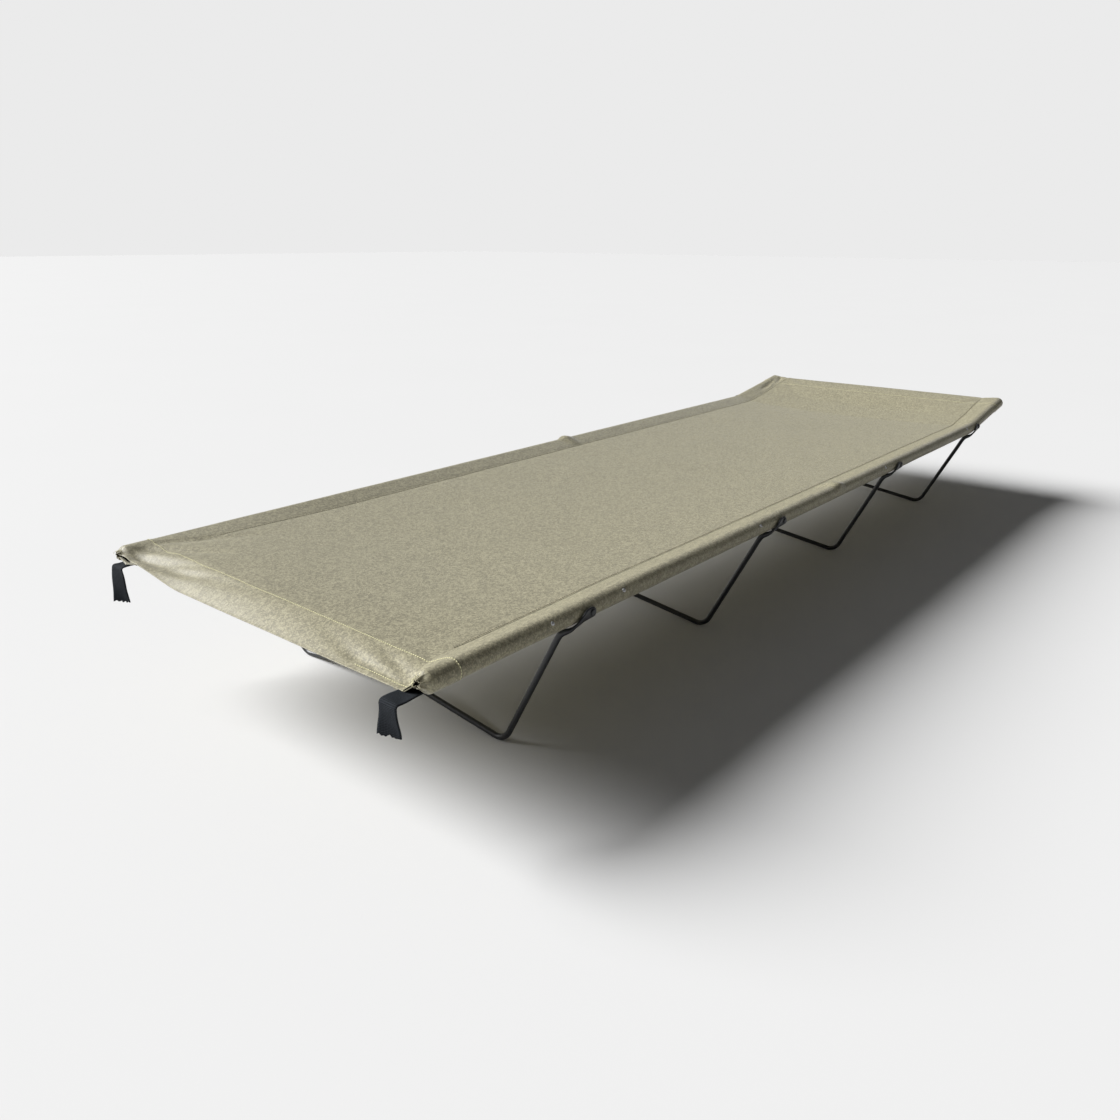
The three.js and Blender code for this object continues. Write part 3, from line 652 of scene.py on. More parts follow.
class BedSection:
    """The cloth's section across the bed at one place along the rails."""

    def __init__(self, along):
        cloth = bpy.context.scene.cot_cloth
        self.along = along
        self.cloth = cloth
        stitch_line = foot_edge() + cloth.hem_width
        head_stitch_line = head_edge() - cloth.hem_width
        self.foot_share = smooth(FOOT_LIFT_FROM, stitch_line - FOOT_LIFT_DONE, along)
        self.droop_share = max((stitch_line - along) / cloth.hem_width, 0.0) ** DROOP_CURVE
        self.head_share = smooth(HEAD_LIFT_FROM, head_edge(), along)
        self.hem_share = max(
            smooth(stitch_line + HEM_STEP, stitch_line - HEM_STEP, along),
            smooth(head_stitch_line - HEM_STEP, head_stitch_line + HEM_STEP, along),
        )
        self.tent = 0.0
        if abs(along) < FOLD_TENT_REACH:
            self.tent = math.cos(math.pi / 2 * along / FOLD_TENT_REACH) ** 2
        near_share = min(self.droop_share * NEAR_CORNER_RUN, 1.0)
        self.near_inset = mix(SEAM_INSET, NEAR_CORNER_INSET, near_share)

    def inset(self, side):
        """From the rail's centre to the sleeve's seam."""
        return SEAM_INSET if side > 0 else self.near_inset

    def seam_y(self, side):
        return RAIL_Y - self.inset(side)

    def rise(self, y):
        """Height of the bed over the rails' centres, from seam to seam."""
        cloth = self.cloth
        middle = cloth.seam_rise - cloth.sag * (1 - (y / SEAM_Y) ** 2)
        stitched = mix(STITCH_NEAR_RISE, STITCH_FAR_RISE, (y + SEAM_Y) / (2 * SEAM_Y))
        corner_share = smooth(DROOP_UP_FROM, SEAM_Y, y)
        hanging = -cloth.hem_droop + (cloth.hem_droop + DROOP_CORNER_RISE) * corner_share
        rise = mix(middle, stitched, self.foot_share)
        rise = mix(rise, hanging, min(self.droop_share, 1.0))
        return mix(rise, HEAD_EDGE_RISE, self.head_share)

    def radius(self, layer):
        return TUBE_RADIUS + FIT + self.cloth.thickness + self.cloth.layer_gap * (self.hem_share - layer)

    def standing(self, angle, radius):
        """A point of the sleeve round the tube; at the fold it stands up over the hinge blocks."""
        if self.tent and math.sin(angle) > 0:
            wide = radius + FOLD_WIDE
            level = (abs(math.cos(angle)) / wide) ** FOLD_SQUARENESS
            upright = (math.sin(angle) / FOLD_TALL) ** FOLD_SQUARENESS
            raised = (level + upright) ** (-1 / FOLD_SQUARENESS)
            radius = mix(radius, max(raised, radius), self.tent)
        return Vector((radius * math.cos(angle), radius * math.sin(angle)))

    def sleeve(self, side, part, portion, layer):
        """A point of one side's sleeve as (distance outwards from the rail's centre, rise)."""
        radius = self.radius(layer)
        inset = self.inset(side)
        seam_rise = self.rise(side * SEAM_Y) - self.cloth.layer_gap * layer
        towards_seam = math.atan2(seam_rise, -inset)
        if seam_rise < 0:
            towards_seam += 2 * math.pi
        half_open = math.acos(radius / math.hypot(inset, seam_rise))
        seam = Vector((-inset, seam_rise))
        if part == "under":
            seam.y -= SEAM_LAYERS
        start = towards_seam - half_open
        sweep = 2 * math.pi - 2 * half_open
        if part == "over":
            return seam.lerp(self.standing(start, radius), portion)
        if part == "arc":
            return self.standing(start - sweep * portion, radius)
        return self.standing(start - sweep, radius).lerp(seam, portion)

    def crease(self, y):
        """How far the creases push the bed down at y."""
        depth = 0.0
        for (from_along, from_y), (to_along, to_y), deep, half_width in CREASES:
            line = Vector((to_along - from_along, to_y - from_y))
            offset = Vector((self.along - from_along, y - from_y))
            portion = offset.dot(line) / line.length_squared
            if not CREASE_START[0] < portion < CREASE_END[0]:
                continue
            across = (offset - line * portion).length / half_width
            ends = smooth(*CREASE_START, portion) * smooth(*CREASE_END, portion)
            depth += CREASE_DEPTH * deep * math.exp(-across * across) * ends
        return depth

    def mouth(self, side, point):
        """Gathers the end of the foot sleeve in over its cap."""
        past_cap = -(RAIL_END + CAP_FLANGE) - self.along
        gather = smooth(-MOUTH_FROM, self.cloth.past_cap, past_cap)
        if gather <= 0:
            return point
        angle = math.atan2(point.y, point.x)
        ripple = MOUTH_RIPPLE * math.sin(6 * angle + side) + MOUTH_FINE_RIPPLE * math.sin(13 * angle + 2)
        pulled = point.lerp(MOUTH_HEART, MOUTH_GATHER * gather)
        return pulled + (point - MOUTH_HEART).normalized() * ripple * gather

    def point(self, column, layer):
        """The place in the row frame of one column of the cloth, on the outer or the turned-in layer."""
        side, part, portion = column
        if part == "bed":
            y = self.seam_y(side) * portion
            rise = self.rise(y) - self.cloth.layer_gap * layer
        elif part == "allowance":
            y = side * (self.seam_y(side) - self.cloth.allowance * portion)
            rise = self.rise(y) - SEAM_LAYERS - 0.0008 * portion + self.cloth.layer_gap * layer * 0.5
        else:
            point = self.sleeve(side, part, portion, layer)
            if abs(point.x) < MOUTH_WIDTH:
                point = self.mouth(side, point)
            y = side * (RAIL_Y + point.x)
            rise = point.y
        if (part == "bed" and abs(portion) == 1) or (part == "over" and portion == 0):
            rise -= SEAM_DIP * smooth(*SEAM_DIP_STRETCH, self.along - foot_edge())
        if part != "arc":
            freedom = smooth(*SUPPORTED_BY_TUBE, RAIL_Y - abs(y))
            rise -= self.crease(y) * freedom
        if part in ("bed", "over"):
            rise += BED_WOBBLE * freedom * noise.noise(Vector((self.along * 9, y * 7, 3.1)))
        elif not self.tent:
            wobble = noise.noise(Vector((self.along * 16, portion * 3 + side, 8.7)))
            y += side * SLEEVE_WOBBLE * wobble
        return rail_point(self.along, y, rise)


def cloth_columns():
    """Every column of the cut cloth from left to right: its side, part and share, and its u."""
    tangent = math.sqrt(SEAM_INSET**2 - TUBE_RADIUS**2)
    turn = 2 * (math.pi - math.acos(TUBE_RADIUS / SEAM_INSET)) * (TUBE_RADIUS + FIT)
    allowance = bpy.context.scene.cot_cloth.allowance
    stretches = [
        ("allowance", ALLOWANCE_COLUMNS, allowance),
        ("under", SLEEVE_COLUMNS, tangent),
        ("arc", ARC_COLUMNS, turn),
        ("over", SLEEVE_COLUMNS, tangent),
    ]
    columns = []
    u = 0.0
    for part, count, width in stretches:
        for index in range(count):
            columns.append(((1, part, 1 - index / count), u + width * index / count))
        u += width
    for index in range(BED_COLUMNS + 1):
        portion = 1 - 2 * index / BED_COLUMNS
        columns.append(((1 if portion > 0 else -1, "bed", portion), u + SEAM_Y * (1 - portion)))
    middle = u + SEAM_Y
    left = columns[: -BED_COLUMNS - 1]
    return columns + [((-1, part, portion), 2 * middle - u) for (_, part, portion), u in reversed(left)]


def spread(start, end, pitch):
    """Places from start up to but not at end, about a pitch apart."""
    count = max(round(abs(end - start) / pitch), 1)
    return [start + (end - start) * index / count for index in range(count)]


def cloth_rows():
    """Every row of the cut cloth from foot to head as (along, layer, v), hems turned in at both ends."""
    hem = bpy.context.scene.cot_cloth.hem_width
    foot, head = foot_edge(), head_edge()
    # The turn of a hem's edge: how far past the edge, and how far through to the turned-in layer.
    roll = [(0.0, 0.0), (-0.0007, 0.12), (-0.0010, 0.5), (-0.0007, 0.88)]
    # The outer layer: where each stretch of rows starts, and their pitch.
    stretches = [
        (foot, 0.0020),
        (foot + 0.012, 0.0048),
        (foot + 0.17, 0.0125),
        (-0.032, 0.004),
        (0.032, 0.0125),
        (HEAD_BEND_AT - 0.03, 0.006),
        (HEAD_BEND_AT + 0.03, 0.0095),
        (head - 0.10, 0.0055),
        (head, None),
    ]
    rows = [(along, 1.0) for along in spread(foot + hem, foot, 0.006)]
    rows += [(foot + move, 1 - layer) for move, layer in roll]
    for (start, pitch), (end, _) in zip(stretches, stretches[1:]):
        rows += [(along, 0.0) for along in spread(start, end, pitch)]
    rows += [(head - move, layer) for move, layer in roll]
    rows += [(along, 1.0) for along in spread(head, head - hem, 0.008)]
    rows.append((head - hem, 1.0))
    numbered = []
    for along, layer in rows:
        turned_in = layer > 0.5
        edge = foot if along < 0 else head
        numbered.append((along, layer, 2 * edge - along if turned_in else along))
    return numbered


def bed_point(along, y, lift=0.0):
    """A point on top of the bed, the sleeves included, at y across the bed."""
    section = BedSection(along)
    side = 1 if y > 0 else -1
    seam_y = section.seam_y(side)
    if abs(y) <= seam_y:
        spot = section.point((side, "bed", y / seam_y), 0.0)
    else:
        over = section.sleeve(side, "over", 1.0, 0.0)
        portion = (abs(y) - seam_y) / (over.x + section.inset(side))
        if portion <= 1:
            spot = section.point((side, "over", portion), 0.0)
        else:
            spot = sleeve_spot(section, side, abs(y) - RAIL_Y)
    return spot + Vector((0, 0, lift))


def sleeve_spot(section, side, outwards):
    """A point on the round of a sleeve, found by its distance outwards from the rail's centre."""
    low, high = 0.0, 0.5
    for _ in range(18):
        portion = (low + high) / 2
        if section.sleeve(side, "arc", portion, 0.0).x < outwards:
            low = portion
        else:
            high = portion
    return section.point((side, "arc", low), 0.0)


class COT_OT_cloth(bpy.types.Operator):
    """Sews the cloth bed: one sheet from seam allowance to seam allowance, hemmed at both ends"""

    bl_idname = "cot.cloth"
    bl_label = "Cloth Bed"

    def execute(self, context):
        cloth = context.scene.cot_cloth
        columns = cloth_columns()
        rows = cloth_rows()
        sections = {}

        def place(column, row):
            along, layer, v = rows[row]
            if along not in sections:
                sections[along] = BedSection(along)
            spot, u = columns[column]
            return sections[along].point(spot, layer), (u, v)

        bed = grid_of_cloth(
            "cloth_bed", len(columns), len(rows), place, olive_cloth(), cloth.thickness
        )
        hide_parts("cloth_foot_half", "cloth_head_half")
        cross_fold(bed)
        return {"FINISHED"}


def cross_fold(piece):
    """Bakes the piece's place into its mesh; nothing is bent where the bed folds."""
    start = rail_point(-FOLD_BLEND)
    end = rail_point(FOLD_BLEND)
    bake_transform(piece)


# ---------------------------------------------------------------- stitching
STITCH_FILL = 0.46
HEM_STITCH_INSET = 0.004
SEAM_STITCH_INSET = 0.002
SEAM_THREAD_SHARE = 0.7
EDGE_ROW_INSET = 0.006
EDGE_ROW = (-0.296, -0.190)


def add_stitch(bm, centre, direction, half_length, radius):
    """One stitch: a small spindle of thread lying on the cloth."""
    normal = Vector((0, 0, 1)) if abs(direction.z) < 0.7 else Vector((1, 0, 0))
    side = direction.cross(normal).normalized()
    up = side.cross(direction).normalized()
    turn = Matrix((direction, side, up)).transposed().to_4x4()
    size = Matrix.Diagonal((half_length, radius, radius, 1.0))
    place = Matrix.Translation(centre) @ turn @ size
    bmesh.ops.create_icosphere(bm, subdivisions=1, radius=1.0, matrix=place)


def stitch_line(name, points, thread, radius, folds=False):
    """Stitches all along a line of points on the cloth."""
    cloth = bpy.context.scene.cot_cloth
    bm = bmesh.new()
    pitch = cloth.stitch
    travelled = pitch / 2
    for start, end in zip(points, points[1:]):
        run = end - start
        while travelled < run.length:
            centre = start + run * (travelled / run.length)
            add_stitch(bm, centre, run.normalized(), pitch * STITCH_FILL, radius)
            travelled += pitch
        travelled -= run.length
    piece = publish(name, bm, thread)
    if folds:
        cross_fold(piece)
    return piece


def across_points(along, lift):
    """Points over the whole top of the bed, from the outer face of one sleeve to the other."""
    section = BedSection(along)
    points = []
    for side in (1, -1):
        half = [section.point((side, "arc", portion / 24), 0.0) for portion in range(16, -1, -1)]
        half += [section.point((side, "over", portion / 6), 0.0) for portion in range(5, 0, -1)]
        centre = rail_point(along, side * RAIL_Y)
        half = [point + (point - centre).normalized() * lift for point in half]
        points.append(half)
    bed = [section.point((1, "bed", 1 - index / 40), 0.0) + Vector((0, 0, lift)) for index in range(81)]
    return points[0] + bed + points[1][::-1]


# Loose thread ends: name, half, distance along the rails, y and the seed of its curl.
LOOSE_ENDS = [
    ("foot_right_a", "foot", -0.9530, -0.2900, 3),
    ("foot_right_b", "foot", -0.9545, -0.2960, 11),
    ("foot_right_c", "foot", -0.9500, -0.2830, 7),
    ("foot_left_a", "foot", -0.9540, 0.2930, 23),
    ("head_right_a", "head", 0.9420, -0.2750, 17),
    ("head_right_b", "head", 0.9430, -0.2850, 29),
]


class COT_OT_stitching(bpy.types.Operator):
    """Runs the hem and seam stitching, and leaves a few thread ends at the corners"""

    bl_idname = "cot.stitching"
    bl_label = "Stitching"

    def execute(self, context):
        cloth = context.scene.cot_cloth
        lift = cloth.thickness / 2 + cloth.thread_radius * 0.35
        hems = {
            "foot": foot_edge() + cloth.hem_width - HEM_STITCH_INSET,
            "head": head_edge() - cloth.hem_width + HEM_STITCH_INSET,
        }
        for half, along in hems.items():
            points = across_points(along, lift)
            radius = cloth.thread_radius * HEM_THREAD[half]
            hem = stitch_line(f"hem_stitching_{half}", points, sewing_thread(), radius)
            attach(hem, f"{half}_half")
        for side_name, side in SIDES.items():
            places = spread(foot_edge() + SEAM_FROM[side_name], head_edge() - 0.004, 0.010)
            line = []
            for along in places:
                seam_y = BedSection(along).seam_y(side)
                line.append(bed_point(along, side * (seam_y - SEAM_STITCH_INSET), lift))
            radius = cloth.thread_radius * SEAM_THREAD_SHARE
            stitch_line(f"seam_stitching_{side_name}", line, seam_thread(), radius, folds=True)
        edge = [bed_point(foot_edge() + EDGE_ROW_INSET, y, lift) for y in spread(*EDGE_ROW, 0.004)]
        edge_row = stitch_line("hem_stitching_edge", edge, sewing_thread(), cloth.thread_radius)
        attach(edge_row, "foot_half")
        self.loose_ends()
        return {"FINISHED"}

    def loose_ends(self):
        """A few cut ends of the hem threads curl out at the corners."""
        for name, half, along, y, seed in LOOSE_ENDS:
            chance = random.Random(seed)
            root = bed_point(along, y, 0.0004)
            outward = HALVES[half]
            points = [root]
            heading = Vector((outward, chance.uniform(-0.7, 0.7), 0.25)).normalized()
            for _ in range(9):
                points.append(points[-1] + heading * 0.0017)
                heading = (heading + Vector((0, chance.uniform(-0.4, 0.4), -0.17))).normalized()
            radius = bpy.context.scene.cot_cloth.thread_radius * 0.6
            end = stitch_line(f"thread_end_{name}", points, sewing_thread(), radius)
            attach(end, f"{half}_half")


# ---------------------------------------------------------------- webbing ties
TIE_BEND = 0.0035
TIE_FRAY = 0.0016


class COT_OT_ties(bpy.types.Operator):
    """Hangs the two webbing ties from the foot hem"""

    bl_idname = "cot.ties"
    bl_label = "Webbing Ties"

    def execute(self, context):
        self.tie("strap_right", twist=-0.25, flare=0.10, ragged=5)
        self.tie("strap_left", twist=-0.45, flare=0.02, ragged=9)
        return {"FINISHED"}

    def tie(self, node, twist, flare, ragged):
        webbing = bpy.context.scene.cot_webbing
        low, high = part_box(node)
        bend = TIE_BEND
        top = high.z - webbing.thickness / 2
        front = low.x + webbing.thickness / 2
        middle = (low.y + high.y) / 2
        run = high.x - front - bend
        turn = bend * math.pi / 2
        drop = top - bend - low.z
        total = run + turn + drop
        columns, rows = 13, 72
        shift = random.Random(ragged)
        frays = [shift.uniform(-TIE_FRAY, TIE_FRAY) for _ in range(columns)]

        def place(column, row):
            share_across = column / (columns - 1) - 0.5
            travelled = total * row / (rows - 1)
            reach = travelled + frays[column] * smooth(0.96, 1.0, row / (rows - 1))
            if reach < run:
                x, z, out = high.x - reach, top, Vector((0, 0, 1))
            elif reach < run + turn:
                angle = (reach - run) / bend
                x = front + bend - bend * math.sin(angle)
                z = top - bend + bend * math.cos(angle)
                out = Vector((-math.sin(angle), 0, math.cos(angle)))
            else:
                x, z, out = front, top - bend - (reach - run - turn), Vector((-1, 0, 0))
            hanging = smooth(run, run + turn + drop, reach)
            width = webbing.width * (1 + flare * hanging)
            yaw = twist * hanging
            cup = 0.0009 * (4 * share_across**2 - 0.5) * (0.3 + hanging)
            ripple = 0.0008 * math.sin(reach * 130 + share_across * 3) * smooth(0, run, reach)
            point = Vector((x, middle, z)) + out * (cup + ripple)
            point.y += share_across * width * math.cos(yaw)
            point.x += share_across * width * math.sin(yaw)
            return point, (share_across * webbing.width, travelled)

        name = node.replace("strap", "webbing_tie")
        tie = grid_of_cloth(name, columns, rows, place, black_webbing(), webbing.thickness)
        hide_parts(node)
        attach(tie, "foot_half")


# ---------------------------------------------------------------- legs
def rounded_corner(vertex, arriving, leaving, radius, steps):
    """The arc that rounds one corner of a path in the plane of (y, z)."""
    turn = math.acos(arriving.dot(leaving))
    inward = (leaving - arriving).normalized()
    centre = vertex + inward * (radius / math.cos(turn / 2))
    start = vertex - arriving * (radius * math.tan(turn / 2)) - centre
    sense = math.copysign(1, arriving.x * leaving.y - arriving.y * leaving.x)
    return [centre + Matrix.Rotation(sense * turn * index / steps, 2) @ start for index in range(steps + 1)]


def leg_plane_line():
    """The foot bend and half of the middle peak, in the plane that the leg stands in."""
    down = Vector((-math.sin(STEEP_ARM), -math.cos(STEEP_ARM)))
    inward = Vector((-math.cos(SHALLOW_ARM), math.sin(SHALLOW_ARM)))
    past_peak = Vector((inward.x, -inward.y))
    bisector = (inward - down).normalized()
    half_turn = math.acos(down.dot(inward)) / 2
    foot_z = ROD_RADIUS + FOOT_BEND_RADIUS - FOOT_BEND_RADIUS * bisector.y / math.cos(half_turn)
    foot = Vector((RAIL_Y - (RAIL_Z - KNEE_DROP - foot_z) * math.tan(STEEP_ARM), foot_z))
    peak = Vector((0.0, foot_z + foot.x * math.tan(SHALLOW_ARM)))
    peak_arc = rounded_corner(peak, inward, past_peak, PEAK_BEND_RADIUS, 8)
    return [*rounded_corner(foot, down, inward, FOOT_BEND_RADIUS, 16), *peak_arc[:5]]


def centripetal_curve(points, steps):
    """A smooth curve through all the points, with stretches timed by the root of their length."""
    points = [points[0] * 2 - points[1], *points, points[-1] * 2 - points[-2]]
    line = []
    for p0, p1, p2, p3 in zip(points, points[1:], points[2:], points[3:]):
        t0 = 0.0
        t1 = t0 + math.sqrt((p1 - p0).length)
        t2 = t1 + math.sqrt((p2 - p1).length)
        t3 = t2 + math.sqrt((p3 - p2).length)
        for index in range(steps):
            t = t1 + (t2 - t1) * index / steps
            a1 = p0.lerp(p1, (t - t0) / (t1 - t0))
            a2 = p1.lerp(p2, (t - t1) / (t2 - t1))
            a3 = p2.lerp(p3, (t - t2) / (t3 - t2))
            b1 = a1.lerp(a2, (t - t0) / (t2 - t0))
            b2 = a2.lerp(a3, (t - t1) / (t3 - t1))
            line.append(b1.lerp(b2, (t - t1) / (t2 - t1)))
    return line + [points[-2]]


def crank_line(lean):
    """From the pivot on the outer face of the rail, round under the sleeve and into the steep arm, as
    distances along the rail from the knee, out from the rail and up."""
    arm_drop = ARM_LEAD * math.cos(STEEP_ARM)
    arm_in = ARM_LEAD * math.sin(STEEP_ARM)
    arm = [
        Vector((0.001, -arm_in * 0.2, -KNEE_DROP - arm_drop * 0.2)),
        Vector((arm_drop * math.tan(lean), -arm_in, -KNEE_DROP - arm_drop)),
    ]
    crank = [Vector((PIVOT_OFFSET, BLADE_OUT, 0))]
    for share, below, out in CRANK:
        radius = BLADE_OUT + out * (ROD_RADIUS - BLADE_HALF_THICKNESS)
        angle = math.radians(below)
        crank.append(Vector((PIVOT_OFFSET * share, radius * math.cos(angle), -radius * math.sin(angle))))
    return centripetal_curve(crank + arm, 6)


def half_leg(leg):
    """Stations from the round tip of the left blade to the middle of the bed."""
    across, to_foot = Vector((0, 1, 0)), Vector((-1, 0, 0))
    knee_z = RAIL_Z - KNEE_DROP
    stations = []
    for angle in TIP_RINGS:
        half_width = BLADE_HALF_WIDTH * math.cos(math.radians(angle))
        reach = BLADE_HALF_WIDTH * math.sin(math.radians(angle))
        centre = rail_point(leg["at"] + PIVOT_OFFSET + reach, RAIL_Y + BLADE_OUT)
        half_thickness = BLADE_HALF_THICKNESS * (TIP_THINNING if angle == TIP_RINGS[0] else 1.0)
        stations.append((centre, across, half_width, half_thickness, BLADE_SQUARENESS))
    for spot in crank_line(leg["lean"]):
        pressed = smooth(PRESS_START, PRESS_END, spot.x)
        off_sleeve = Vector((0, spot.y, spot.z)).normalized()
        flat = to_foot.lerp(off_sleeve, smooth(0.0, TURN_END, spot.x))
        half_width = mix(ROD_RADIUS, BLADE_HALF_WIDTH, smooth(WIDEN_START, WIDEN_END, spot.x))
        half_thickness = mix(ROD_RADIUS, BLADE_HALF_THICKNESS, pressed)
        centre = rail_point(leg["at"] + spot.x, RAIL_Y + spot.y, spot.z)
        squareness = mix(ROD_SQUARENESS, BLADE_SQUARENESS, pressed)
        stations.append((centre, flat, half_width, half_thickness, squareness))
    for spot in leg_plane_line():
        centre = Vector((FOLD.x + leg["at"] + (knee_z - spot.y) * math.tan(leg["lean"]), spot.x, spot.y))
        stations.append((centre, to_foot, ROD_RADIUS, ROD_RADIUS, ROD_SQUARENESS))
    return stations


def mirrored_stations(stations):
    flip = Vector((1, -1, 1))
    return [(centre * flip, flat * flip, *rest) for centre, flat, *rest in reversed(stations)]


class COT_OT_legs(bpy.types.Operator):
    """Bends the four W-shaped rod legs and presses their ends flat"""

    bl_idname = "cot.legs"
    bl_label = "Legs"

    def execute(self, context):
        for name, leg in LEGS.items():
            half = half_leg(leg)
            bar = swept_bar(half + mirrored_stations(half[:-1]), 16)
            fitting(f"{name}_rod", bar, "powder_coat", name, name)
        return {"FINISHED"}


# ---------------------------------------------------------------- rivets, spacers, tacks and caps
def on_rail(bm, along, side, turn):
    """Turns a fitting made about the origin, facing +Y, and moves it to its place on one rail."""
    bmesh.ops.transform(bm, matrix=Matrix.Rotation(turn, 4, "Z"), verts=bm.verts)
    place = Matrix.Translation(rail_point(along, side * RAIL_Y)) @ rail_turn(along)
    bmesh.ops.transform(bm, matrix=place, verts=bm.verts)
    return bm


def facing_out(side):
    return 0 if side > 0 else math.pi


def dome(radius, start, height, steps=5):
    """The profile of a domed head, from its rim to the axis."""
    angles = [math.pi / 2 * index / steps for index in range(steps + 1)]
    return [(radius * math.cos(angle), start + height * math.sin(angle)) for angle in angles]


class COT_OT_pivots(bpy.types.Operator):
    """Rivets each leg to the outer faces of the rails, over a spacer that passes through the sleeve"""

    bl_idname = "cot.pivots"
    bl_label = "Leg Pivots"

    def execute(self, context):
        for name, leg in LEGS.items():
            for side_name, side in SIDES.items():
                self.pivot(name, leg, side_name, side)
        return {"FINISHED"}

    def pivot(self, name, leg, side_name, side):
        along = leg["at"] + PIVOT_OFFSET
        outside = BLADE_OUT + BLADE_HALF_THICKNESS + FIT
        tail = -TUBE_RADIUS - FIT
        profile = [(0, tail - PIVOT_TAIL), (PIVOT_TAIL_RADIUS * 0.8, tail - 0.0013)]
        profile += [(PIVOT_TAIL_RADIUS, tail - 0.0003), (PIVOT_TAIL_RADIUS, tail)]
        profile += [(PIVOT_RADIUS, tail), (PIVOT_RADIUS, outside), (PIVOT_HEAD_RADIUS, outside)]
        profile += dome(PIVOT_HEAD_RADIUS, outside + PIVOT_HEAD_RIM, PIVOT_HEAD - PIVOT_HEAD_RIM)
        near, far = TUBE_RADIUS + FIT, TUBE_RADIUS + FIT + SPACER
        bore, rim, edge = PIVOT_RADIUS + FIT, SPACER_RADIUS, 0.0002
        ring = [(bore, near), (rim - edge, near), (rim, near + edge), (rim, far - edge), (rim - edge, far)]
        ring += [(bore, far), (bore, near)]
        for kind, outline, slot in [("rivet", profile, "powder_coat"), ("spacer", ring, "bare_steel")]:
            bm = on_rail(lathed(outline), along, side, facing_out(side))
            node = f"{name}_{kind}_{side_name}"
            fitting(f"{name}_pivot_{kind}_{side_name}", bm, slot, node, leg["half"])


class COT_OT_tacks(bpy.types.Operator):
    """Pins the sleeves to the rails with small rivets"""

    bl_idname = "cot.tacks"
    bl_label = "Sleeve Tacks"

    def execute(self, context):
        by_leg = [leg["at"] - TACK_BEHIND_LEG for leg in LEGS.values()]
        places = {"foot": [by_leg[0], EXTRA_TACK_AT, by_leg[1]], "head": by_leg[2:]}
        for half, alongs in places.items():
            for side_name, side in SIDES.items():
                for index, along in enumerate(alongs, start=1):
                    self.tack(half, side_name, side, index, along)
        return {"FINISHED"}

    def tack(self, half, side_name, side, index, along):
        head = SLEEVE_OUTER + FIT
        profile = [(0, head - TACK_DEPTH), (TACK_RADIUS, head - TACK_DEPTH), (TACK_RADIUS, head - 0.0006)]
        profile += [(TACK_HEAD_RADIUS - 0.0002, head - 0.0006), (TACK_HEAD_RADIUS, head - 0.0003)]
        profile += dome(TACK_HEAD_RADIUS, head, TACK_HEAD, 4)
        bm = lathed(profile, 20)
        bmesh.ops.transform(bm, matrix=Matrix.Rotation(TACK_ANGLE, 4, "X"), verts=bm.verts)
        on_rail(bm, along, side, facing_out(side))
        node = f"sleeve_tack_{half}_{side_name}_{index}"
        fitting(f"{node}_domed", bm, "bare_steel", node, f"{half}_half")


class COT_OT_caps(bpy.types.Operator):
    """Plugs the four open ends of the rails with moulded caps"""

    bl_idname = "cot.caps"
    bl_label = "End Caps"

    def execute(self, context):
        spigot = TUBE_RADIUS - TUBE_WALL - FIT
        bore = spigot - CAP_SPIGOT_WALL
        profile = [(0, FIT), (bore, FIT), (bore, -CAP_SPIGOT), (spigot, -CAP_SPIGOT), (spigot, FIT)]
        profile += [(TUBE_RADIUS, FIT), (TUBE_RADIUS, CAP_FLANGE - CAP_EDGE)]
        flat = TUBE_RADIUS - CAP_EDGE
        rim = dome(CAP_EDGE, CAP_FLANGE - CAP_EDGE, CAP_EDGE)
        profile += [(flat + radius, y) for radius, y in rim[1:]]
        profile += [(0.0052, CAP_FLANGE), (0.0046, CAP_FLANGE - 0.0006), (0, CAP_FLANGE - 0.0006)]
        for half, outward in HALVES.items():
            for side_name, side in SIDES.items():
                corner = f"{half}_{side_name}"
                bm = on_rail(lathed(profile, 32), outward * RAIL_END, side, -outward * math.pi / 2)
                fitting(f"moulded_cap_{corner}", bm, "black_plastic", f"end_cap_{corner}", f"{half}_half")
        return {"FINISHED"}


class COT_OT_carried_over(bpy.types.Operator):
    """Gives the rails, hinge blocks and hidden pins their finishes"""

    bl_idname = "cot.carried_over"
    bl_label = "Rails and Hinges"

    def execute(self, context):
        finishes = {
            "rail_": "powder_coat",
            "hinge_fork_": "cast_zinc",
            "hinge_tongue_": "cast_zinc",
            "hinge_pin_": "bare_steel",
            "plug_rivet_": "bare_steel",
        }
        for name, node in frame["nodes"].items():
            for start, finish in finishes.items():
                if name.startswith(start):
                    node.material_slots[0].material = RIGID_FINISHES[finish]()
        return {"FINISHED"}


# ---------------------------------------------------------------- stage
FLOOR_HALF_SIDE = 30.0
VIEW_DISTANCE = 200.0
SENSOR_WIDTH = 36.0
KEY_FROM = Vector((-0.37, 0.73, 0.57))
KEY_ANGLE = math.radians(34)
CAMERA_PLACE = Vector((-1.4777, -0.9174, 0.6033))
CAMERA_YAW = math.radians(39.4145)
CAMERA_PITCH = math.radians(19.166)
CAMERA_ROLL = math.radians(0.2534)


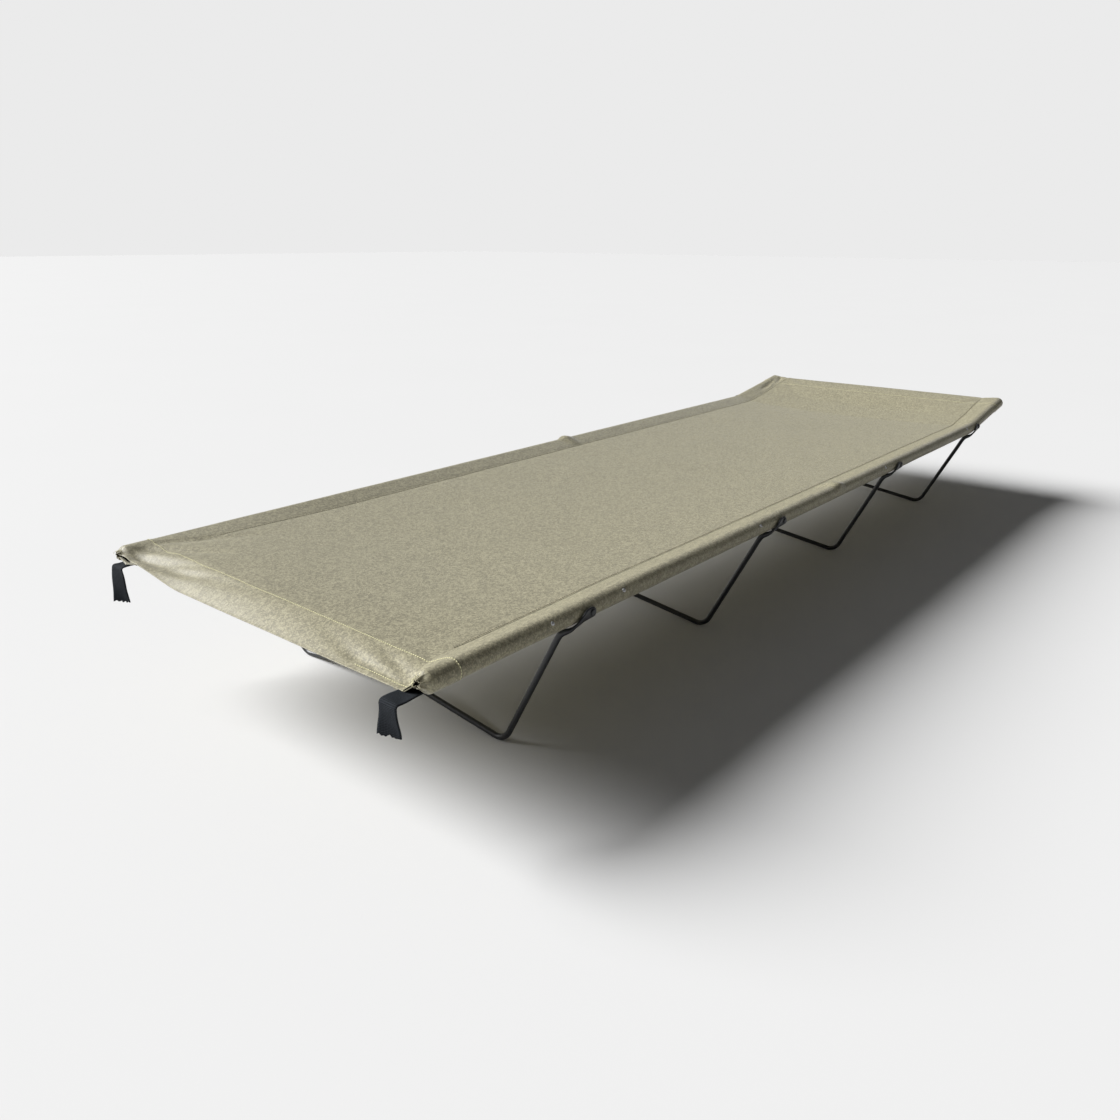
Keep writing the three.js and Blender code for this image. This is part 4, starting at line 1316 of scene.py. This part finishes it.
class COT_OT_stage(bpy.types.Operator):
    """Sets the plain floor, the soft lights and the camera"""

    bl_idname = "cot.stage"
    bl_label = "Stage"

    def execute(self, context):
        stage = context.scene.cot_stage
        bm = bmesh.new()
        bmesh.ops.create_grid(bm, x_segments=1, y_segments=1, size=FLOOR_HALF_SIDE)
        floor = publish("floor", bm, self.floor_finish(stage))
        self.light("key_light", stage.sun)
        self.surroundings(context.scene, stage)
        self.camera(context.scene, stage)
        context.scene.view_settings.view_transform = "Standard"
        return {"FINISHED"}

    def floor_finish(self, stage):
        finish = Finish("pale_floor", Roughness=0.9, Specular_IOR_Level=0.2)
        soft = finish.noise(finish.place(), 1.5, detail=2.0)
        finish.set(Base_Color=finish.blend(soft, shaded(stage.floor, 0.985), stage.floor))
        return finish.material

    def light(self, name, strength):
        data = bpy.data.lights.new(name, "SUN")
        data.angle = KEY_ANGLE
        data.energy = strength
        lamp = bpy.data.objects.new(name, data)
        lamp.rotation_euler = (-KEY_FROM).to_track_quat("-Z", "Y").to_euler()
        bpy.context.scene.collection.objects.link(lamp)

    def surroundings(self, scene, stage):
        """A plain world that shows brighter, as a pale backdrop, than it lights the cot."""
        world = bpy.data.worlds.new("surroundings")
        world.use_nodes = True
        nodes, links = world.node_tree.nodes, world.node_tree.links
        background = nodes["Background"]
        background.inputs["Color"].default_value = (1, 1, 1, 1)
        seen = nodes.new("ShaderNodeLightPath")
        strength = nodes.new("ShaderNodeMapRange")
        strength.inputs["To Min"].default_value = stage.ambient
        strength.inputs["To Max"].default_value = stage.backdrop
        links.new(seen.outputs["Is Camera Ray"], strength.inputs["Value"])
        links.new(strength.outputs["Result"], background.inputs["Strength"])
        scene.world = world

    def camera(self, scene, stage):
        data = bpy.data.cameras.new("camera")
        data.lens = stage.lens
        data.sensor_width = SENSOR_WIDTH
        data.clip_end = VIEW_DISTANCE
        camera = bpy.data.objects.new("camera", data)
        turn = Matrix.Rotation(CAMERA_YAW - math.pi / 2, 4, "Z")
        tilt = Matrix.Rotation(math.pi / 2 - CAMERA_PITCH, 4, "X")
        roll = Matrix.Rotation(CAMERA_ROLL, 4, "Z")
        camera.matrix_world = Matrix.Translation(CAMERA_PLACE) @ turn @ tilt @ roll
        scene.collection.objects.link(camera)
        scene.camera = camera


# ---------------------------------------------------------------- panel and registration
OPERATORS = [
    COT_OT_cloth,
    COT_OT_stitching,
    COT_OT_ties,
    COT_OT_legs,
    COT_OT_pivots,
    COT_OT_tacks,
    COT_OT_caps,
    COT_OT_carried_over,
    COT_OT_stage,
]
SETTINGS = {
    "cot_cloth": CotClothSettings,
    "cot_metal": CotMetalSettings,
    "cot_webbing": CotWebbingSettings,
    "cot_stage": CotStageSettings,
}


class COT_PT_panel(bpy.types.Panel):
    """Settings and builders of the camp cot"""

    bl_idname = "COT_PT_panel"
    bl_label = "Camp Cot"
    bl_space_type = "VIEW_3D"
    bl_region_type = "UI"
    bl_category = "Camp Cot"

    def draw(self, context):
        for group in SETTINGS:
            box = self.layout.box()
            settings = getattr(context.scene, group)
            for name in settings.__annotations__:
                box.prop(settings, name)
        for operator in OPERATORS:
            self.layout.operator(operator.bl_idname)


def register():
    for name, group in SETTINGS.items():
        bpy.utils.register_class(group)
        setattr(bpy.types.Scene, name, PointerProperty(type=group))
    for operator in OPERATORS:
        bpy.utils.register_class(operator)
    bpy.utils.register_class(COT_PT_panel)


def unregister():
    bpy.utils.unregister_class(COT_PT_panel)
    for operator in reversed(OPERATORS):
        bpy.utils.unregister_class(operator)
    for name, group in reversed(SETTINGS.items()):
        delattr(bpy.types.Scene, name)
        bpy.utils.unregister_class(group)


def main():
    register()
    for operator in OPERATORS:
        group, name = operator.bl_idname.split(".")
        getattr(getattr(bpy.ops, group), name)()


if __name__ == "__main__":
    main()
